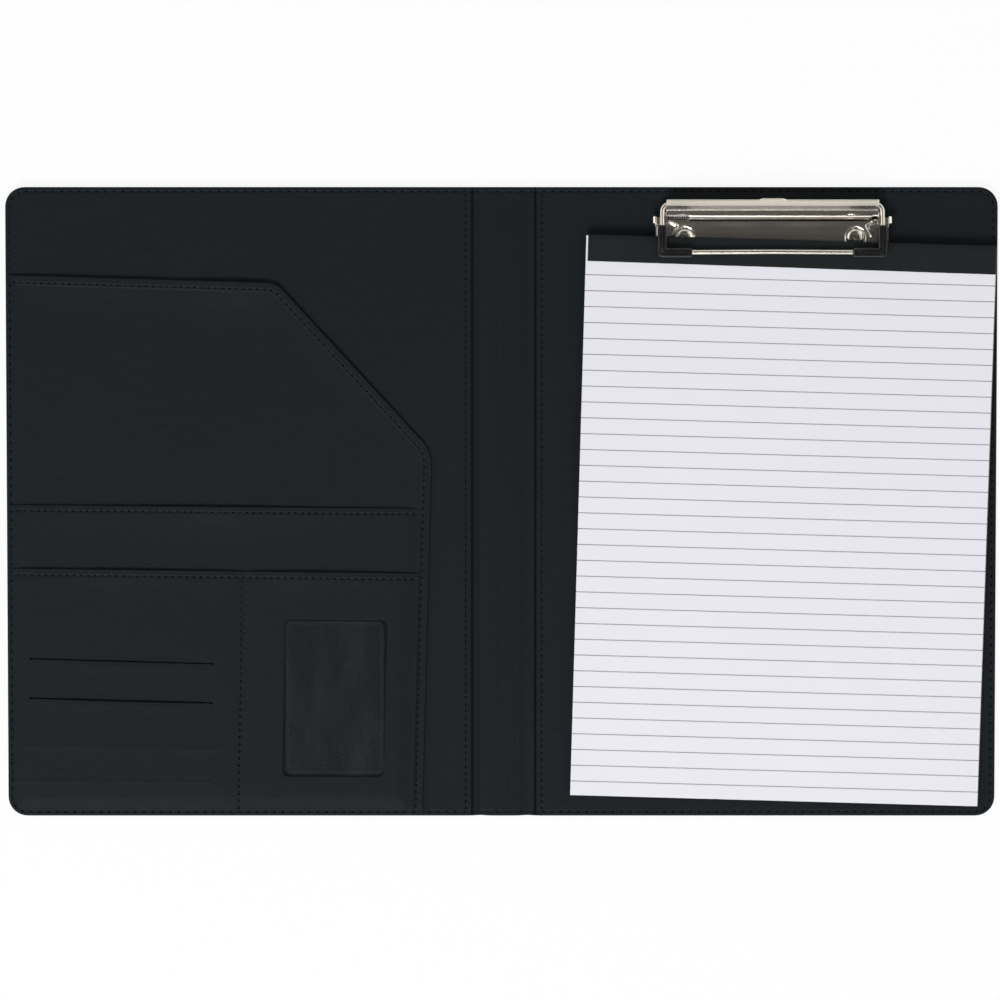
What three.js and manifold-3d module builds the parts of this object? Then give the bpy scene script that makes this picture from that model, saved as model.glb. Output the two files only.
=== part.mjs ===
// Clipboard folder, lying open flat: two padded cover panels joined by a soft spine, a wire clip
// holding a writing pad on the right panel, and a set of sewn pockets on the left panel.
// Millimetres, +Z up. The origin is at the bottom centre of the open folder, X runs across both
// panels from the pockets to the pad, and Y runs up the page.

import * as THREE from 'three';
import { mergeVertices } from 'three/addons/utils/BufferGeometryUtils.js';
import Module from 'manifold-3d';

const wasm = await Module();
wasm.setup();

// Clearances
const SIDE_GAP = 0.2; // a board or foam sheet to the wall of its tray
const SEAT_GAP = 0.3; // a piece that rests on another one and can leave it
const LAYER_GAP = 0.25; // between the layers of the turned pad
const FOLD_CLEARANCE = 0.5; // a raised edge beyond the 45 degree line through its fold
const SKIN_CLEARANCE = 0.05; // the skin beyond the same line
const RUNNING_GAP = 0.3; // round the pivot pin and the bail wire

// Cover panels
const PANEL_HEIGHT = 324; // from the bottom edge to the top edge
const FRONT_WIDTH = 239; // left panel, outer edge to the edge of its lining by the spine
const BACK_WIDTH = 236.5; // right panel, the same
const SPINE_STRIP = 33.5; // between the two panel linings
const CORNER_RADIUS = 10;
const SKIN = 0.8; // outer cover material
const FOAM = 1.2; // wadding under the skin
const BOARD = 1.6; // stiff board
const LINING = 0.8; // inner cover material
const RIM = 0.8; // upturned wall of the skin round each panel

// Pockets on the left panel, from its outer edge (across) and its bottom edge (up)
const POCKET = 0.8; // pocket material
const POCKET_INSET = 1; // pocket edge to the panel's outer edge
const HEM = 4.4; // turned and sewn hem of the document pocket
const DOC_LEFT_UP = 279; // top edge of the document pocket at the outer edge
const DOC_CORNER_ACROSS = 139; // where its top edge meets its slanted edge
const DOC_CORNER_UP = 275;
const DOC_CORNER_RADIUS = 10.5;
const DOC_SIDE_ACROSS = 218.7; // where the slanted edge meets the side edge
const DOC_SIDE_UP = 188.5;
const DOC_SIDE_RADIUS = 17;
const DOC_FOOT_ACROSS = 213.8; // the side edge at the bottom of the panel
const MIDDLE_LEFT_UP = 161; // top edge of the middle pocket, at its two ends
const MIDDLE_RIGHT_UP = 159;
const LOWER_LEFT_UP = 128.3; // top edge of the lower pocket, at its two ends
const LOWER_RIGHT_UP = 125.7;
const WINDOW_WIDTH = 52.3; // window for a name card in the lower pocket
const WINDOW_HEIGHT = 81;
const WINDOW_RADIUS = 2.8;
const WINDOW_ACROSS = 168.6; // to its centre
const WINDOW_UP = 61.3;
const WINDOW_OVERLAP = 5; // film and cloth behind the window's edge
const FILM = 0.25;
const CLOTH = 0.25;
const SLIT_LENGTH = 92; // card slits, from hole to hole
const SLIT_WIDTH = 0.6;
const SLIT_HOLE = 1.4; // diameter of the round hole at each end of a slit
const SLIT_ACROSS = 58.3;
const SLIT_TILT = -1.2; // degrees
const SLIT_UPS = [80, 59.8];
const CARD_CLOTH_WIDTH = 104; // cloth behind the slits
const CARD_CLOTH_DEPTH = 74;
const CARD_CLOTH_UP = 53;

// Writing pad on the right panel
const PAD_WIDTH = 210;
const PAD_LENGTH = 289;
const PAD_ASIDE = 8.15; // centre of the pad from the middle of the back panel, outwards
const PAD_UNDER = 12.7; // head of the pad in front of the clip's pin
const PAD_TURN = -1.6; // degrees, as it was pushed under the clip
const PAD_CARD = 0.6; // backing card
const PAD_STACK = 1.4; // the sheets under the top one
const SHEET = 0.25; // top sheet
const TAPE = 0.25; // binding tape round the head of the pad
const TAPE_LEFT = 14.7; // depth of the tape on the face of the pad, at its two ends
const TAPE_RIGHT = 16.4;
const TAPE_BACK = 12; // depth of the tape on the backing card
const TAPE_INSET = 1; // the tape starts this far in from the left edge
const STAPLE_SPACING = 110;
const STAPLE_UP = 7; // staples from the head of the pad
const STAPLE_CROWN = 12;
const STAPLE_WIRE = 0.5;
const STAPLE_CLINCH = 2; // left open between the turned-in ends

// Wire clip, with its pivot pin along X
const CLIP_ASIDE = 2.35; // centre of the clip from the middle of the back panel, outwards
const PIN_BELOW = 14.2; // pin from the top edge of the panel
const PLATE_BEYOND = 5.3; // the base plate beyond the lever's ears, at each end
const PLATE_DEPTH = 16.8; // from the pin to the front edge of the base plate
const PLATE_REAR = 2.4; // from the pin to the rear edge beside the barrel
const PLATE = 0.9; // sheet thickness of the base plate
const PLATE_CORNER = 3;
const PLATE_RIM = 0.8; // width of the raised rim along each side
const PLATE_RIDGE = 0.5; // height of the rims and ridges
// V-shaped ridge by each end of the plate: in from that end, and in front of the rear edge
const CHEVRON = [[6.2, 0.4], [11.4, 3.2], [8.8, 8.2]];
const BARREL_RADIUS = 2.2; // rolled rear edge of the plate, outside
const SPRING_ROOM = 11.4; // from the left ear to the barrel, for the spring
const BARREL_STOP = 2.6; // from the barrel to the right ear
const PIN_RADIUS = 1;
const PIN_HEAD = 0.6; // thickness of the head at each end of the pin
const RIVET_INSET = 10.7; // rivets from the lever's ears, before they are set aside
const RIVETS_ASIDE = -0.9; // middle of the rivets to the clip's centre
const RIVET_FRONT = 11.5; // rivets in front of the pin
const RIVET_DOME = 8.8; // diameter
const RIVET_DOME_HEIGHT = 1.5;
const RIVET_SHANK = 4; // diameter
const RIVET_TAIL = 7; // diameter of the upset end under the board
const RIVET_TAIL_HEIGHT = 0.8;
const LEVER = 0.9; // sheet thickness of the lever
const LEVER_WIDTH = 109; // over the outer faces of its two ears
const FLANGE_STEP = 0.2; // the flange ends this far inside the ears
const LEVER_ANGLE = 50; // degrees between the flange and the panel
const FLANGE = 6.8; // length of the sloping flange
const LIP_FRONT = 0.4; // the lip over the barrel, behind the pin
const LIP_REAR = 2.6;
const THUMB_WIDTH = 14; // raised middle of the flange's edge
const THUMB_RISE = 0.9;
const THUMB_SHEET = 0.8; // pressed a little thinner than the flange
const BAIL_WIRE = 2.6; // diameter
const BAIL_BESIDE = 1.9; // centre of each leg beyond the lever's ear
const BAIL_REACH = 19.3; // from the pin forward to the front bar
const BAIL_BOW = 0.7; // the front bar bends back by this much in the middle
const BOW_RUN = 40; // over this much of the bar each way
const BAIL_LEVEL = 9.8; // the legs lie level from the bar to this far in front of the pin
const HOOK_BEHIND = 5.4; // the hooked ends, behind the pin
const HOOK_ABOVE = 2.6; // and above it
const HOOK_LENGTH = 9.4; // from the leg inwards
const BEND = 4; // run of each bend in the wire
const TIP_WIDTH = 4.8; // plastic corner tip
const TIP_HEIGHT = 4.2;
const TIP_FOOT = 15.4; // from the leg's centre along the front bar
const TIP_LEG = 5.1; // the tip's leg ends this far in front of the pin
const CRADLE_FRONT = 4.4; // the lever's cradle under each leg, in front of the pin
const CRADLE_REAR = 1;
const CURL = 1.7; // outer radius of the cradle's curled end
const SPRING_WIRE = 0.7;
const SPRING_RADIUS = 1.65; // to the middle of the wire
const SPRING_PITCH = 1.2;
const SPRING_TURNS = 8.125; // its last eighth points the front leg down at the plate
const SPRING_STEPS = 8; // to a turn

// Levels and places worked out from the sizes above
const FOAM_Z = SKIN;
const BOARD_Z = FOAM_Z + FOAM;
const LINING_Z = BOARD_Z + BOARD;
const TOP = LINING_Z + LINING; // upper face of the panel linings
const FOLD_Z = SKIN / 2; // the skin bends about its own middle
const FOLD_INSET = TOP - FOLD_Z + FOLD_CLEARANCE; // fold line to the raised edges beside it
const SKIN_SPLIT = SKIN / 2 + SKIN_CLEARANCE; // fold line to the skin's end
const STRIP_SPLIT = SKIN / 2 + LINING + SKIN_CLEARANCE; // fold line to the spine lining's end
const HALF_HEIGHT = PANEL_HEIGHT / 2;
const HALF_WIDTH = (FRONT_WIDTH + SPINE_STRIP + BACK_WIDTH) / 2;
const FRONT_LINING_X = FRONT_WIDTH - HALF_WIDTH;
const BACK_LINING_X = HALF_WIDTH - BACK_WIDTH;
const BACK_MIDDLE_X = HALF_WIDTH - BACK_WIDTH / 2;
const FRONT_FOLD_X = FRONT_LINING_X + FOLD_INSET;
const BACK_FOLD_X = BACK_LINING_X - FOLD_INSET;
const DOC_Z = TOP;
const MIDDLE_Z = DOC_Z + POCKET;
const CLOTH_Z = MIDDLE_Z + POCKET;
const FILM_Z = CLOTH_Z + CLOTH;
const LOWER_Z = FILM_Z + FILM;

// Pad layers above the underside of its card, and how the pad leans on the two rivets
const TAPE_WRAP = LAYER_GAP + TAPE; // the tape stands this far off the layers that it wraps
const STACK_Z = PAD_CARD + LAYER_GAP;
const FACE_Z = STACK_Z + PAD_STACK + LAYER_GAP;
const PAD_TOP = FACE_Z + Math.max(TAPE, SHEET);
const PAD_HEAD = PAD_LENGTH / 2;
const CLIP_ACROSS = BACK_MIDDLE_X + CLIP_ASIDE;
const PIN_UP = HALF_HEIGHT - PIN_BELOW;
const PAD_ACROSS = BACK_MIDDLE_X + PAD_ASIDE;
const PAD_UP = PIN_UP - PAD_UNDER - PAD_HEAD;
const RIVET_RUN = PIN_UP - RIVET_FRONT - PAD_UP + PAD_HEAD;
const PAD_LEAN = Math.asin((PLATE + RIVET_DOME_HEIGHT + TAPE_WRAP) / RIVET_RUN);
const padUnderAt = (y) => SEAT_GAP + Math.sin(PAD_LEAN) * (y - PAD_UP + PAD_HEAD);

// Clip widths from the lever, heights above the panel lining, and the slope of the legs
const PLATE_WIDTH = LEVER_WIDTH + 2 * PLATE_BEYOND;
const BARREL_LEFT = LEVER - LEVER_WIDTH / 2 + SPRING_ROOM;
const BARREL_RIGHT = LEVER_WIDTH / 2 - LEVER - BARREL_STOP;
const RIVET_SPACING = LEVER_WIDTH - 2 * RIVET_INSET;
const BAIL_WIDTH = LEVER_WIDTH + 2 * BAIL_BESIDE;
const PIN_Z = BARREL_RADIUS;
const BAIL_Z = padUnderAt(PAD_UP + PAD_HEAD) + PAD_TOP + SEAT_GAP + TIP_HEIGHT / 2;
const LIP_Z = PIN_Z + BARREL_RADIUS + RUNNING_GAP + LEVER / 2;
const HOOK_Z = PIN_Z + HOOK_ABOVE;
const LEG_SLOPE = (HOOK_Z - BAIL_Z) / (HOOK_BEHIND + BAIL_LEVEL);
const legHeight = (y) => BAIL_Z + LEG_SLOPE * Math.max(0, y + BAIL_LEVEL);

const radians = THREE.MathUtils.degToRad;

// Materials
function finish(color, roughness, metalness = 0) {
  return new THREE.MeshStandardMaterial({ color, roughness, metalness });
}
const coverFinish = () => finish(0x2b3033, 0.62);
const foamFinish = () => finish(0x8a8a86, 0.95);
const boardFinish = () => finish(0x8d867a, 0.9);
const clothFinish = () => finish(0x2c2c2e, 0.9);
const nickelFinish = () => finish(0xc9c2b6, 0.22, 1);
const steelFinish = () => finish(0xa9aaac, 0.3, 1);
const tipFinish = () => finish(0x1d1d20, 0.45);
const paperFinish = () => finish(0xe7e6ee, 0.85);
const cardFinish = () => finish(0x8c7460, 0.9);
const tapeFinish = () => finish(0x2a2d2e, 0.7);

// A corner list [x, y, radius] as an outline with round corners
function outline(corners, steps = 6) {
  const points = [];
  corners.forEach(([x, y, radius = 0], i) => {
    const corner = new THREE.Vector2(x, y);
    if (radius <= 0) {
      points.push(corner);
      return;
    }
    const [px, py] = corners[(i + corners.length - 1) % corners.length];
    const [nx, ny] = corners[(i + 1) % corners.length];
    const before = new THREE.Vector2(px, py).sub(corner).normalize();
    const after = new THREE.Vector2(nx, ny).sub(corner).normalize();
    const half = Math.acos(THREE.MathUtils.clamp(before.dot(after), -1, 1)) / 2;
    const middle = before.clone().add(after).normalize().multiplyScalar(radius / Math.sin(half));
    const centre = corner.clone().add(middle);
    const start = corner.clone().addScaledVector(before, radius / Math.tan(half)).sub(centre);
    const sweep = (2 * half - Math.PI) * Math.sign(before.cross(after));
    for (let s = 0; s <= steps; s += 1) {
      const spoke = start.clone().rotateAround(new THREE.Vector2(), (sweep * s) / steps);
      points.push(centre.clone().add(spoke));
    }
  });
  return points;
}

// The outline of a sheet of one thickness that follows a bent centre line
function bentSheet(line, thickness) {
  const points = line.map(([x, y]) => new THREE.Vector2(x, y));
  const sides = [[], []];
  points.forEach((point, i) => {
    const before = point.clone().sub(points[Math.max(i - 1, 0)]);
    const after = points[Math.min(i + 1, points.length - 1)].clone().sub(point);
    const along = before.normalize().add(after.clone().normalize()).normalize();
    const step = i > 0 && i < points.length - 1 ? along.dot(after.normalize()) : 1;
    const normal = new THREE.Vector2(-along.y, along.x).multiplyScalar(thickness / 2 / step);
    sides[0].push(point.clone().add(normal));
    sides[1].unshift(point.clone().sub(normal));
  });
  return [...sides[0], ...sides[1]];
}

function arc(centreX, centreY, radius, from, to, steps) {
  return Array.from({ length: steps + 1 }, (_, i) => {
    const angle = radians(from + ((to - from) * i) / steps);
    return [centreX + radius * Math.cos(angle), centreY + radius * Math.sin(angle)];
  });
}

function mirrored(corners) {
  return corners.map(([x, y, radius]) => [-x, y, radius]).reverse();
}

// An outline in the plan, raised from z by a thickness, with holes right through it
function prism(points, z, thickness) {
  const shape = new THREE.Shape(points);
  const geometry = new THREE.ExtrudeGeometry(shape, { depth: thickness, bevelEnabled: false });
  return geometry.translate(0, 0, z);
}

function slab(points, z, thickness, holes = []) {
  const body = prism(points, z, thickness);
  const tools = holes.map((hole) => prism(hole, z - thickness, 3 * thickness));
  return holes.length ? cut(body, ...tools) : body;
}

// A side outline (y, z) carried along X, and a front outline (x, z) carried along Y
function alongX(points, from, to, holes = []) {
  const geometry = slab(points, from, to - from, holes);
  const basis = new THREE.Matrix4().makeBasis(
    new THREE.Vector3(0, 1, 0),
    new THREE.Vector3(0, 0, 1),
    new THREE.Vector3(1, 0, 0),
  );
  return geometry.applyMatrix4(basis);
}

function alongY(points, from, to) {
  const geometry = slab(points, -to, to - from);
  return geometry.applyMatrix4(new THREE.Matrix4().makeRotationX(Math.PI / 2));
}

function circle(radius, sides, x = 0, y = 0) {
  const ring = arc(x, y, radius, 0, 360 - 360 / sides, sides - 1);
  return ring.map(([u, v]) => new THREE.Vector2(u, v));
}

const oblong = ([left, right], [front, back]) =>
  outline([[left, front], [right, front], [right, back], [left, back]]);

const block = (x, y, [low, high]) => slab(oblong(x, y), low, high - low);

// A route of straight runs, each inner corner rounded over its own run: [x, y, z, run]
function roundedRoute(stops, steps = 5) {
  const points = stops.map(([x, y, z]) => new THREE.Vector3(x, y, z));
  return points.flatMap((corner, i) => {
    if (i === 0 || i === points.length - 1) {
      return [corner];
    }
    const run = stops[i][3];
    const start = points[i - 1].clone().sub(corner).setLength(run).add(corner);
    const end = points[i + 1].clone().sub(corner).setLength(run).add(corner);
    return new THREE.QuadraticBezierCurve3(start, corner, end).getPoints(steps);
  });
}

// A round wire through a list of points, with flat ends
function wire(points, radius, sides) {
  const positions = [];
  const faces = [];
  const last = points.length - 1;
  let normal = new THREE.Vector3(0, 0, 1);
  points.forEach((point, i) => {
    const before = point.clone().sub(points[Math.max(i - 1, 0)]).normalize();
    const after = points[Math.min(i + 1, last)].clone().sub(point).normalize();
    const tangent = before.add(after).normalize();
    normal = normal.clone().projectOnPlane(tangent).normalize();
    const binormal = tangent.clone().cross(normal);
    for (let k = 0; k < sides; k += 1) {
      const angle = (2 * Math.PI * k) / sides;
      const spoke = normal.clone().multiplyScalar(radius * Math.cos(angle));
      spoke.addScaledVector(binormal, radius * Math.sin(angle)).add(point);
      positions.push(...spoke.toArray());
      const [here, next] = [i * sides + k, i * sides + ((k + 1) % sides)];
      if (i < last) {
        faces.push(here, next, next + sides, here, next + sides, here + sides);
      }
    }
  });
  const end = last * sides;
  for (let k = 1; k < sides - 1; k += 1) {
    faces.push(0, k + 1, k, end, end + k, end + k + 1);
  }
  const geometry = new THREE.BufferGeometry();
  geometry.setAttribute('position', new THREE.Float32BufferAttribute(positions, 3));
  geometry.setIndex(faces);
  geometry.computeVertexNormals();
  return geometry;
}

// Joining and cutting closed meshes
function solid(geometry) {
  const bare = geometry.clone();
  bare.deleteAttribute('normal');
  bare.deleteAttribute('uv');
  const merged = mergeVertices(bare, 1e-4);
  return new wasm.Manifold(new wasm.Mesh({
    numProp: 3,
    vertProperties: new Float32Array(merged.attributes.position.array),
    triVerts: new Uint32Array(merged.index.array),
  }));
}

function surface(manifold) {
  const mesh = manifold.getMesh();
  const geometry = new THREE.BufferGeometry();
  geometry.setAttribute('position', new THREE.BufferAttribute(mesh.vertProperties, 3));
  geometry.setIndex(new THREE.BufferAttribute(mesh.triVerts, 1));
  geometry.computeVertexNormals();
  return geometry;
}

const join = (...pieces) => surface(pieces.map(solid).reduce((whole, next) => whole.add(next)));
const cut = (piece, ...tools) =>
  surface(tools.map(solid).reduce((rest, tool) => rest.subtract(tool), solid(piece)));

function part(group, name, geometry, material) {
  const mesh = new THREE.Mesh(geometry, material);
  mesh.name = name;
  group.add(mesh);
  return mesh;
}

// Cover panels. A panel is drawn on the right, from its fold line outwards, and turned over for
// the left one.
function panelOutline(innerX, outerX, halfHeight, radius) {
  return [
    [innerX, -halfHeight],
    [outerX, -halfHeight, radius],
    [outerX, halfHeight, radius],
    [innerX, halfHeight],
  ];
}

// A rivet's place from the clip's centre, and the holes for both rivets through the panel
const rivetX = (side) => RIVETS_ASIDE + (side * RIVET_SPACING) / 2;
const rivetHoles = (diameter) => [-1, 1].map((side) =>
  circle(diameter / 2, 16, CLIP_ACROSS + rivetX(side), PIN_UP - RIVET_FRONT));

function addPanel(group, { name, flip }, foldX, liningX, holesOf) {
  const outerX = HALF_WIDTH;
  const place = (corners) => outline(flip < 0 ? mirrored(corners) : corners);
  const rim = [
    ...panelOutline(liningX, outerX, HALF_HEIGHT, CORNER_RADIUS),
    ...panelOutline(liningX, outerX - RIM, HALF_HEIGHT - RIM, CORNER_RADIUS - RIM).reverse(),
  ];
  const base = panelOutline(foldX + SKIN_SPLIT, outerX, HALF_HEIGHT, CORNER_RADIUS);
  const skin = join(slab(place(base), 0, SKIN), slab(place(rim), 0, LINING_Z));
  part(group, `cover_skin_${name}`, skin, coverFinish());

  const wall = RIM + SIDE_GAP;
  const inner = liningX + LINING + SIDE_GAP;
  const tray = place(panelOutline(inner, outerX - wall, HALF_HEIGHT - wall, CORNER_RADIUS - wall));
  const shank = holesOf(RIVET_SHANK + 2 * RUNNING_GAP);
  const tail = holesOf(RIVET_TAIL + 2 * RUNNING_GAP);
  part(group, `foam_${name}`, slab(tray, FOAM_Z, FOAM, tail), foamFinish());
  part(group, `board_${name}`, slab(tray, BOARD_Z, BOARD, shank), boardFinish());

  const face = place(panelOutline(liningX, outerX, HALF_HEIGHT, CORNER_RADIUS));
  part(group, `lining_${name}`, slab(face, LINING_Z, LINING, shank), coverFinish());

  const margin = [
    [flip * (foldX + STRIP_SPLIT), SKIN + LINING / 2],
    [flip * (liningX + LINING / 2), SKIN + LINING / 2],
    [flip * (liningX + LINING / 2), LINING_Z],
  ];
  const end = HALF_HEIGHT - wall;
  const strip = alongY(bentSheet(margin, LINING), -end, end);
  part(group, `spine_lining_edge_${name}`, strip, coverFinish());
}

// Spine: skin with an upturned end, board, and a lining that dips into both folds
function addSpine(group) {
  const left = FRONT_FOLD_X + FOLD_INSET;
  const right = BACK_FOLD_X - FOLD_INSET;
  const between = [FRONT_FOLD_X + SKIN_SPLIT, BACK_FOLD_X - SKIN_SPLIT];
  const skin = join(
    block(between, [-HALF_HEIGHT, HALF_HEIGHT], [0, SKIN]),
    block([left, right], [-HALF_HEIGHT, RIM - HALF_HEIGHT], [0, LINING_Z]),
    block([left, right], [HALF_HEIGHT - RIM, HALF_HEIGHT], [0, LINING_Z]),
  );
  part(group, 'cover_skin_spine', skin, coverFinish());

  const wall = LINING + SIDE_GAP;
  const end = HALF_HEIGHT - RIM - SIDE_GAP;
  const foam = block([left + wall, right - wall], [-end, end], [FOAM_Z, BOARD_Z]);
  part(group, 'foam_spine', foam, foamFinish());
  const board = block([left + wall, right - wall], [-end, end], [BOARD_Z, LINING_Z]);
  part(group, 'board_spine', board, boardFinish());

  const low = SKIN + LINING / 2;
  const high = LINING_Z + LINING / 2;
  const hat = [
    [FRONT_FOLD_X + STRIP_SPLIT, low],
    [left + LINING / 2, low],
    [left + LINING / 2, high],
    [right - LINING / 2, high],
    [right - LINING / 2, low],
    [BACK_FOLD_X - STRIP_SPLIT, low],
  ];
  part(group, 'spine_lining', alongY(bentSheet(hat, LINING), -end, end), coverFinish());
}

// Pockets
const across = (x) => x - HALF_WIDTH;
const up = (y) => y - HALF_HEIGHT;

function docSideX(y) {
  const share = (y - POCKET_INSET) / (DOC_SIDE_UP - POCKET_INSET);
  return DOC_FOOT_ACROSS + (DOC_SIDE_ACROSS - DOC_FOOT_ACROSS) * share;
}

function docCorners(hem = 0) {
  const edges = [
    [POCKET_INSET, POCKET_INSET],
    [DOC_FOOT_ACROSS, POCKET_INSET],
    [DOC_SIDE_ACROSS, DOC_SIDE_UP],
    [DOC_CORNER_ACROSS, DOC_CORNER_UP],
    [POCKET_INSET, DOC_LEFT_UP],
  ];
  const insets = [0, hem, hem, hem, 0];
  const radii = [CORNER_RADIUS - POCKET_INSET, 0, DOC_SIDE_RADIUS, DOC_CORNER_RADIUS, 0];
  return edges.map((_, i) => [...insetCorner(edges, insets, i), radii[i] && radii[i] - hem]);
}

// Where two neighbouring edges of an outline meet once each has moved inwards by its inset
function insetCorner(edges, insets, i) {
  const count = edges.length;
  const lineOf = (k) => {
    const [ax, ay] = edges[k % count];
    const [bx, by] = edges[(k + 1) % count];
    const length = Math.hypot(bx - ax, by - ay);
    const normal = [-(by - ay) / length, (bx - ax) / length];
    return [...normal, normal[0] * ax + normal[1] * ay + insets[k % count]];
  };
  const [a, b, c] = lineOf(i + count - 1);
  const [d, e, f] = lineOf(i);
  const scale = a * e - b * d;
  return [(c * e - b * f) / scale, (a * f - c * d) / scale];
}

const onPanel = (corners) => outline(corners.map(([x, y, radius]) => [across(x), up(y), radius]));

function documentPocket() {
  const sheet = slab(onPanel(docCorners()), DOC_Z, POCKET);
  const outer = docCorners().slice(1);
  const inner = docCorners(HEM).slice(1).reverse();
  const hem = slab(onPanel([...outer, ...inner]), DOC_Z, 2 * POCKET);
  return join(sheet, hem);
}

function pocketSheet(leftUp, rightUp) {
  const edgeX = (y) => docSideX(y) - HEM - SEAT_GAP;
  return [
    [POCKET_INSET, POCKET_INSET, CORNER_RADIUS - POCKET_INSET],
    [edgeX(POCKET_INSET), POCKET_INSET],
    [edgeX(rightUp), rightUp],
    [POCKET_INSET, leftUp],
  ];
}

function rectangle(width, height, x, y, radius = 0) {
  const [w, h] = [width / 2, height / 2];
  return onPanel([
    [x - w, y - h, radius],
    [x + w, y - h, radius],
    [x + w, y + h, radius],
    [x - w, y + h, radius],
  ]);
}

// A narrow slit with a round hole at each end
function slit(y) {
  const reach = SLIT_LENGTH / 2;
  const spread = THREE.MathUtils.radToDeg(Math.asin(SLIT_WIDTH / SLIT_HOLE));
  const points = [
    ...arc(reach, 0, SLIT_HOLE / 2, spread - 180, 180 - spread, 8),
    ...arc(-reach, 0, SLIT_HOLE / 2, spread, 360 - spread, 8),
  ];
  const centre = new THREE.Vector2(across(SLIT_ACROSS), up(y));
  return points.map(([u, v]) => new THREE.Vector2(u, v)
    .rotateAround(new THREE.Vector2(), radians(SLIT_TILT))
    .add(centre));
}

function lowerPocket() {
  const window = rectangle(WINDOW_WIDTH, WINDOW_HEIGHT, WINDOW_ACROSS, WINDOW_UP, WINDOW_RADIUS);
  const sheet = onPanel(pocketSheet(LOWER_LEFT_UP, LOWER_RIGHT_UP));
  return slab(sheet, LOWER_Z, POCKET, [window, ...SLIT_UPS.map(slit)]);
}

function windowBacking(z, thickness) {
  const width = WINDOW_WIDTH + 2 * WINDOW_OVERLAP;
  const height = WINDOW_HEIGHT + 2 * WINDOW_OVERLAP;
  return slab(rectangle(width, height, WINDOW_ACROSS, WINDOW_UP), z, thickness);
}

function addPockets(group) {
  part(group, 'document_pocket', documentPocket(), coverFinish());
  const middle = slab(onPanel(pocketSheet(MIDDLE_LEFT_UP, MIDDLE_RIGHT_UP)), MIDDLE_Z, POCKET);
  part(group, 'middle_pocket', middle, coverFinish());
  part(group, 'lower_pocket', lowerPocket(), coverFinish());
  const card = rectangle(CARD_CLOTH_WIDTH, CARD_CLOTH_DEPTH, SLIT_ACROSS, CARD_CLOTH_UP);
  part(group, 'card_pocket_cloth', slab(card, CLOTH_Z, CLOTH), clothFinish());
  part(group, 'window_pocket_cloth', windowBacking(CLOTH_Z, CLOTH), clothFinish());
  part(group, 'id_window_film', windowBacking(FILM_Z, FILM), finish(0x6a6a68, 0.2));
}

// Clip pieces, in the clip's own frame: x from its centre, y from the pin, z from the lining
function barrel() {
  const middle = BARREL_RADIUS - PLATE / 2;
  const line = [[-PLATE_REAR - PLATE, PLATE / 2], ...arc(0, PIN_Z, middle, -90, 180, 18)];
  return alongX(bentSheet(line, PLATE), BARREL_LEFT, BARREL_RIGHT);
}

function basePlate() {
  const half = PLATE_WIDTH / 2;
  const flat = outline([
    [-half, -PLATE_DEPTH, PLATE_CORNER],
    [half, -PLATE_DEPTH, PLATE_CORNER],
    [half, -PLATE_REAR, PLATE_CORNER],
    [-half, -PLATE_REAR, PLATE_CORNER],
  ]);
  const holes = [-1, 1].map((side) =>
    circle(RIVET_SHANK / 2 + RUNNING_GAP, 16, rivetX(side), -RIVET_FRONT));
  const ridgeZ = [PLATE / 2, PLATE + PLATE_RIDGE];
  const straight = [PLATE_CORNER - PLATE_DEPTH, -PLATE_REAR - PLATE_CORNER];
  const rims = [-1, 1].map((side) => {
    const edges = [side * half, side * (half - PLATE_RIM)].sort((a, b) => a - b);
    return block(edges, straight, ridgeZ);
  });
  const chevrons = [-1, 1].map((side) => {
    const line = CHEVRON.map(([inset, front]) => [side * (half - inset), -PLATE_REAR - front]);
    return slab(bentSheet(line, PLATE_RIM), ridgeZ[0], ridgeZ[1] - ridgeZ[0]);
  });
  return join(slab(flat, 0, PLATE, holes), barrel(), ...rims, ...chevrons);
}

function rivet() {
  const dome = arc(0, PLATE, 1, 90, 0, 6).map(([x, y]) => new THREE.Vector2(
    (x * RIVET_DOME) / 2,
    PLATE + (y - PLATE) * RIVET_DOME_HEIGHT,
  ));
  dome[0].x = 0;
  const boardUnder = BOARD_Z - TOP;
  const profile = [
    ...dome,
    new THREE.Vector2(RIVET_SHANK / 2, PLATE),
    new THREE.Vector2(RIVET_SHANK / 2, boardUnder),
    new THREE.Vector2(RIVET_TAIL / 2, boardUnder),
    new THREE.Vector2(RIVET_TAIL / 2, boardUnder - RIVET_TAIL_HEIGHT),
    new THREE.Vector2(0, boardUnder - RIVET_TAIL_HEIGHT),
  ];
  const turned = new THREE.LatheGeometry(profile.reverse(), 20);
  return turned.applyMatrix4(new THREE.Matrix4().makeRotationX(Math.PI / 2));
}

function pivotPin() {
  const half = LEVER_WIDTH / 2 + RUNNING_GAP;
  const head = PIN_RADIUS + RUNNING_GAP + PIN_HEAD / 2;
  const profile = [
    [0, -half - PIN_HEAD], [head, -half - PIN_HEAD], [head, -half], [PIN_RADIUS, -half],
    [PIN_RADIUS, half], [head, half], [head, half + PIN_HEAD], [0, half + PIN_HEAD],
  ].map(([x, y]) => new THREE.Vector2(x, y));
  const turned = new THREE.LatheGeometry(profile, 16);
  turned.applyMatrix4(new THREE.Matrix4().makeRotationZ(-Math.PI / 2));
  return turned.translate(0, 0, PIN_Z);
}

// The route of the bail wire: hooked end, leg, front bar, leg, hooked end
function bailRoute() {
  const half = BAIL_WIDTH / 2;
  const left = [
    [HOOK_LENGTH - half, HOOK_BEHIND, HOOK_Z],
    [-half, HOOK_BEHIND, HOOK_Z, BEND],
    [-half, -BAIL_LEVEL, BAIL_Z, BEND],
    [-half, -BAIL_REACH, BAIL_Z, BEND],
  ];
  const right = left.map(([x, y, z, run]) => [-x, y, z, run]).reverse();
  return roundedRoute([...left, [0, BAIL_BOW - BAIL_REACH, BAIL_Z, BOW_RUN], ...right]);
}

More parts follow.
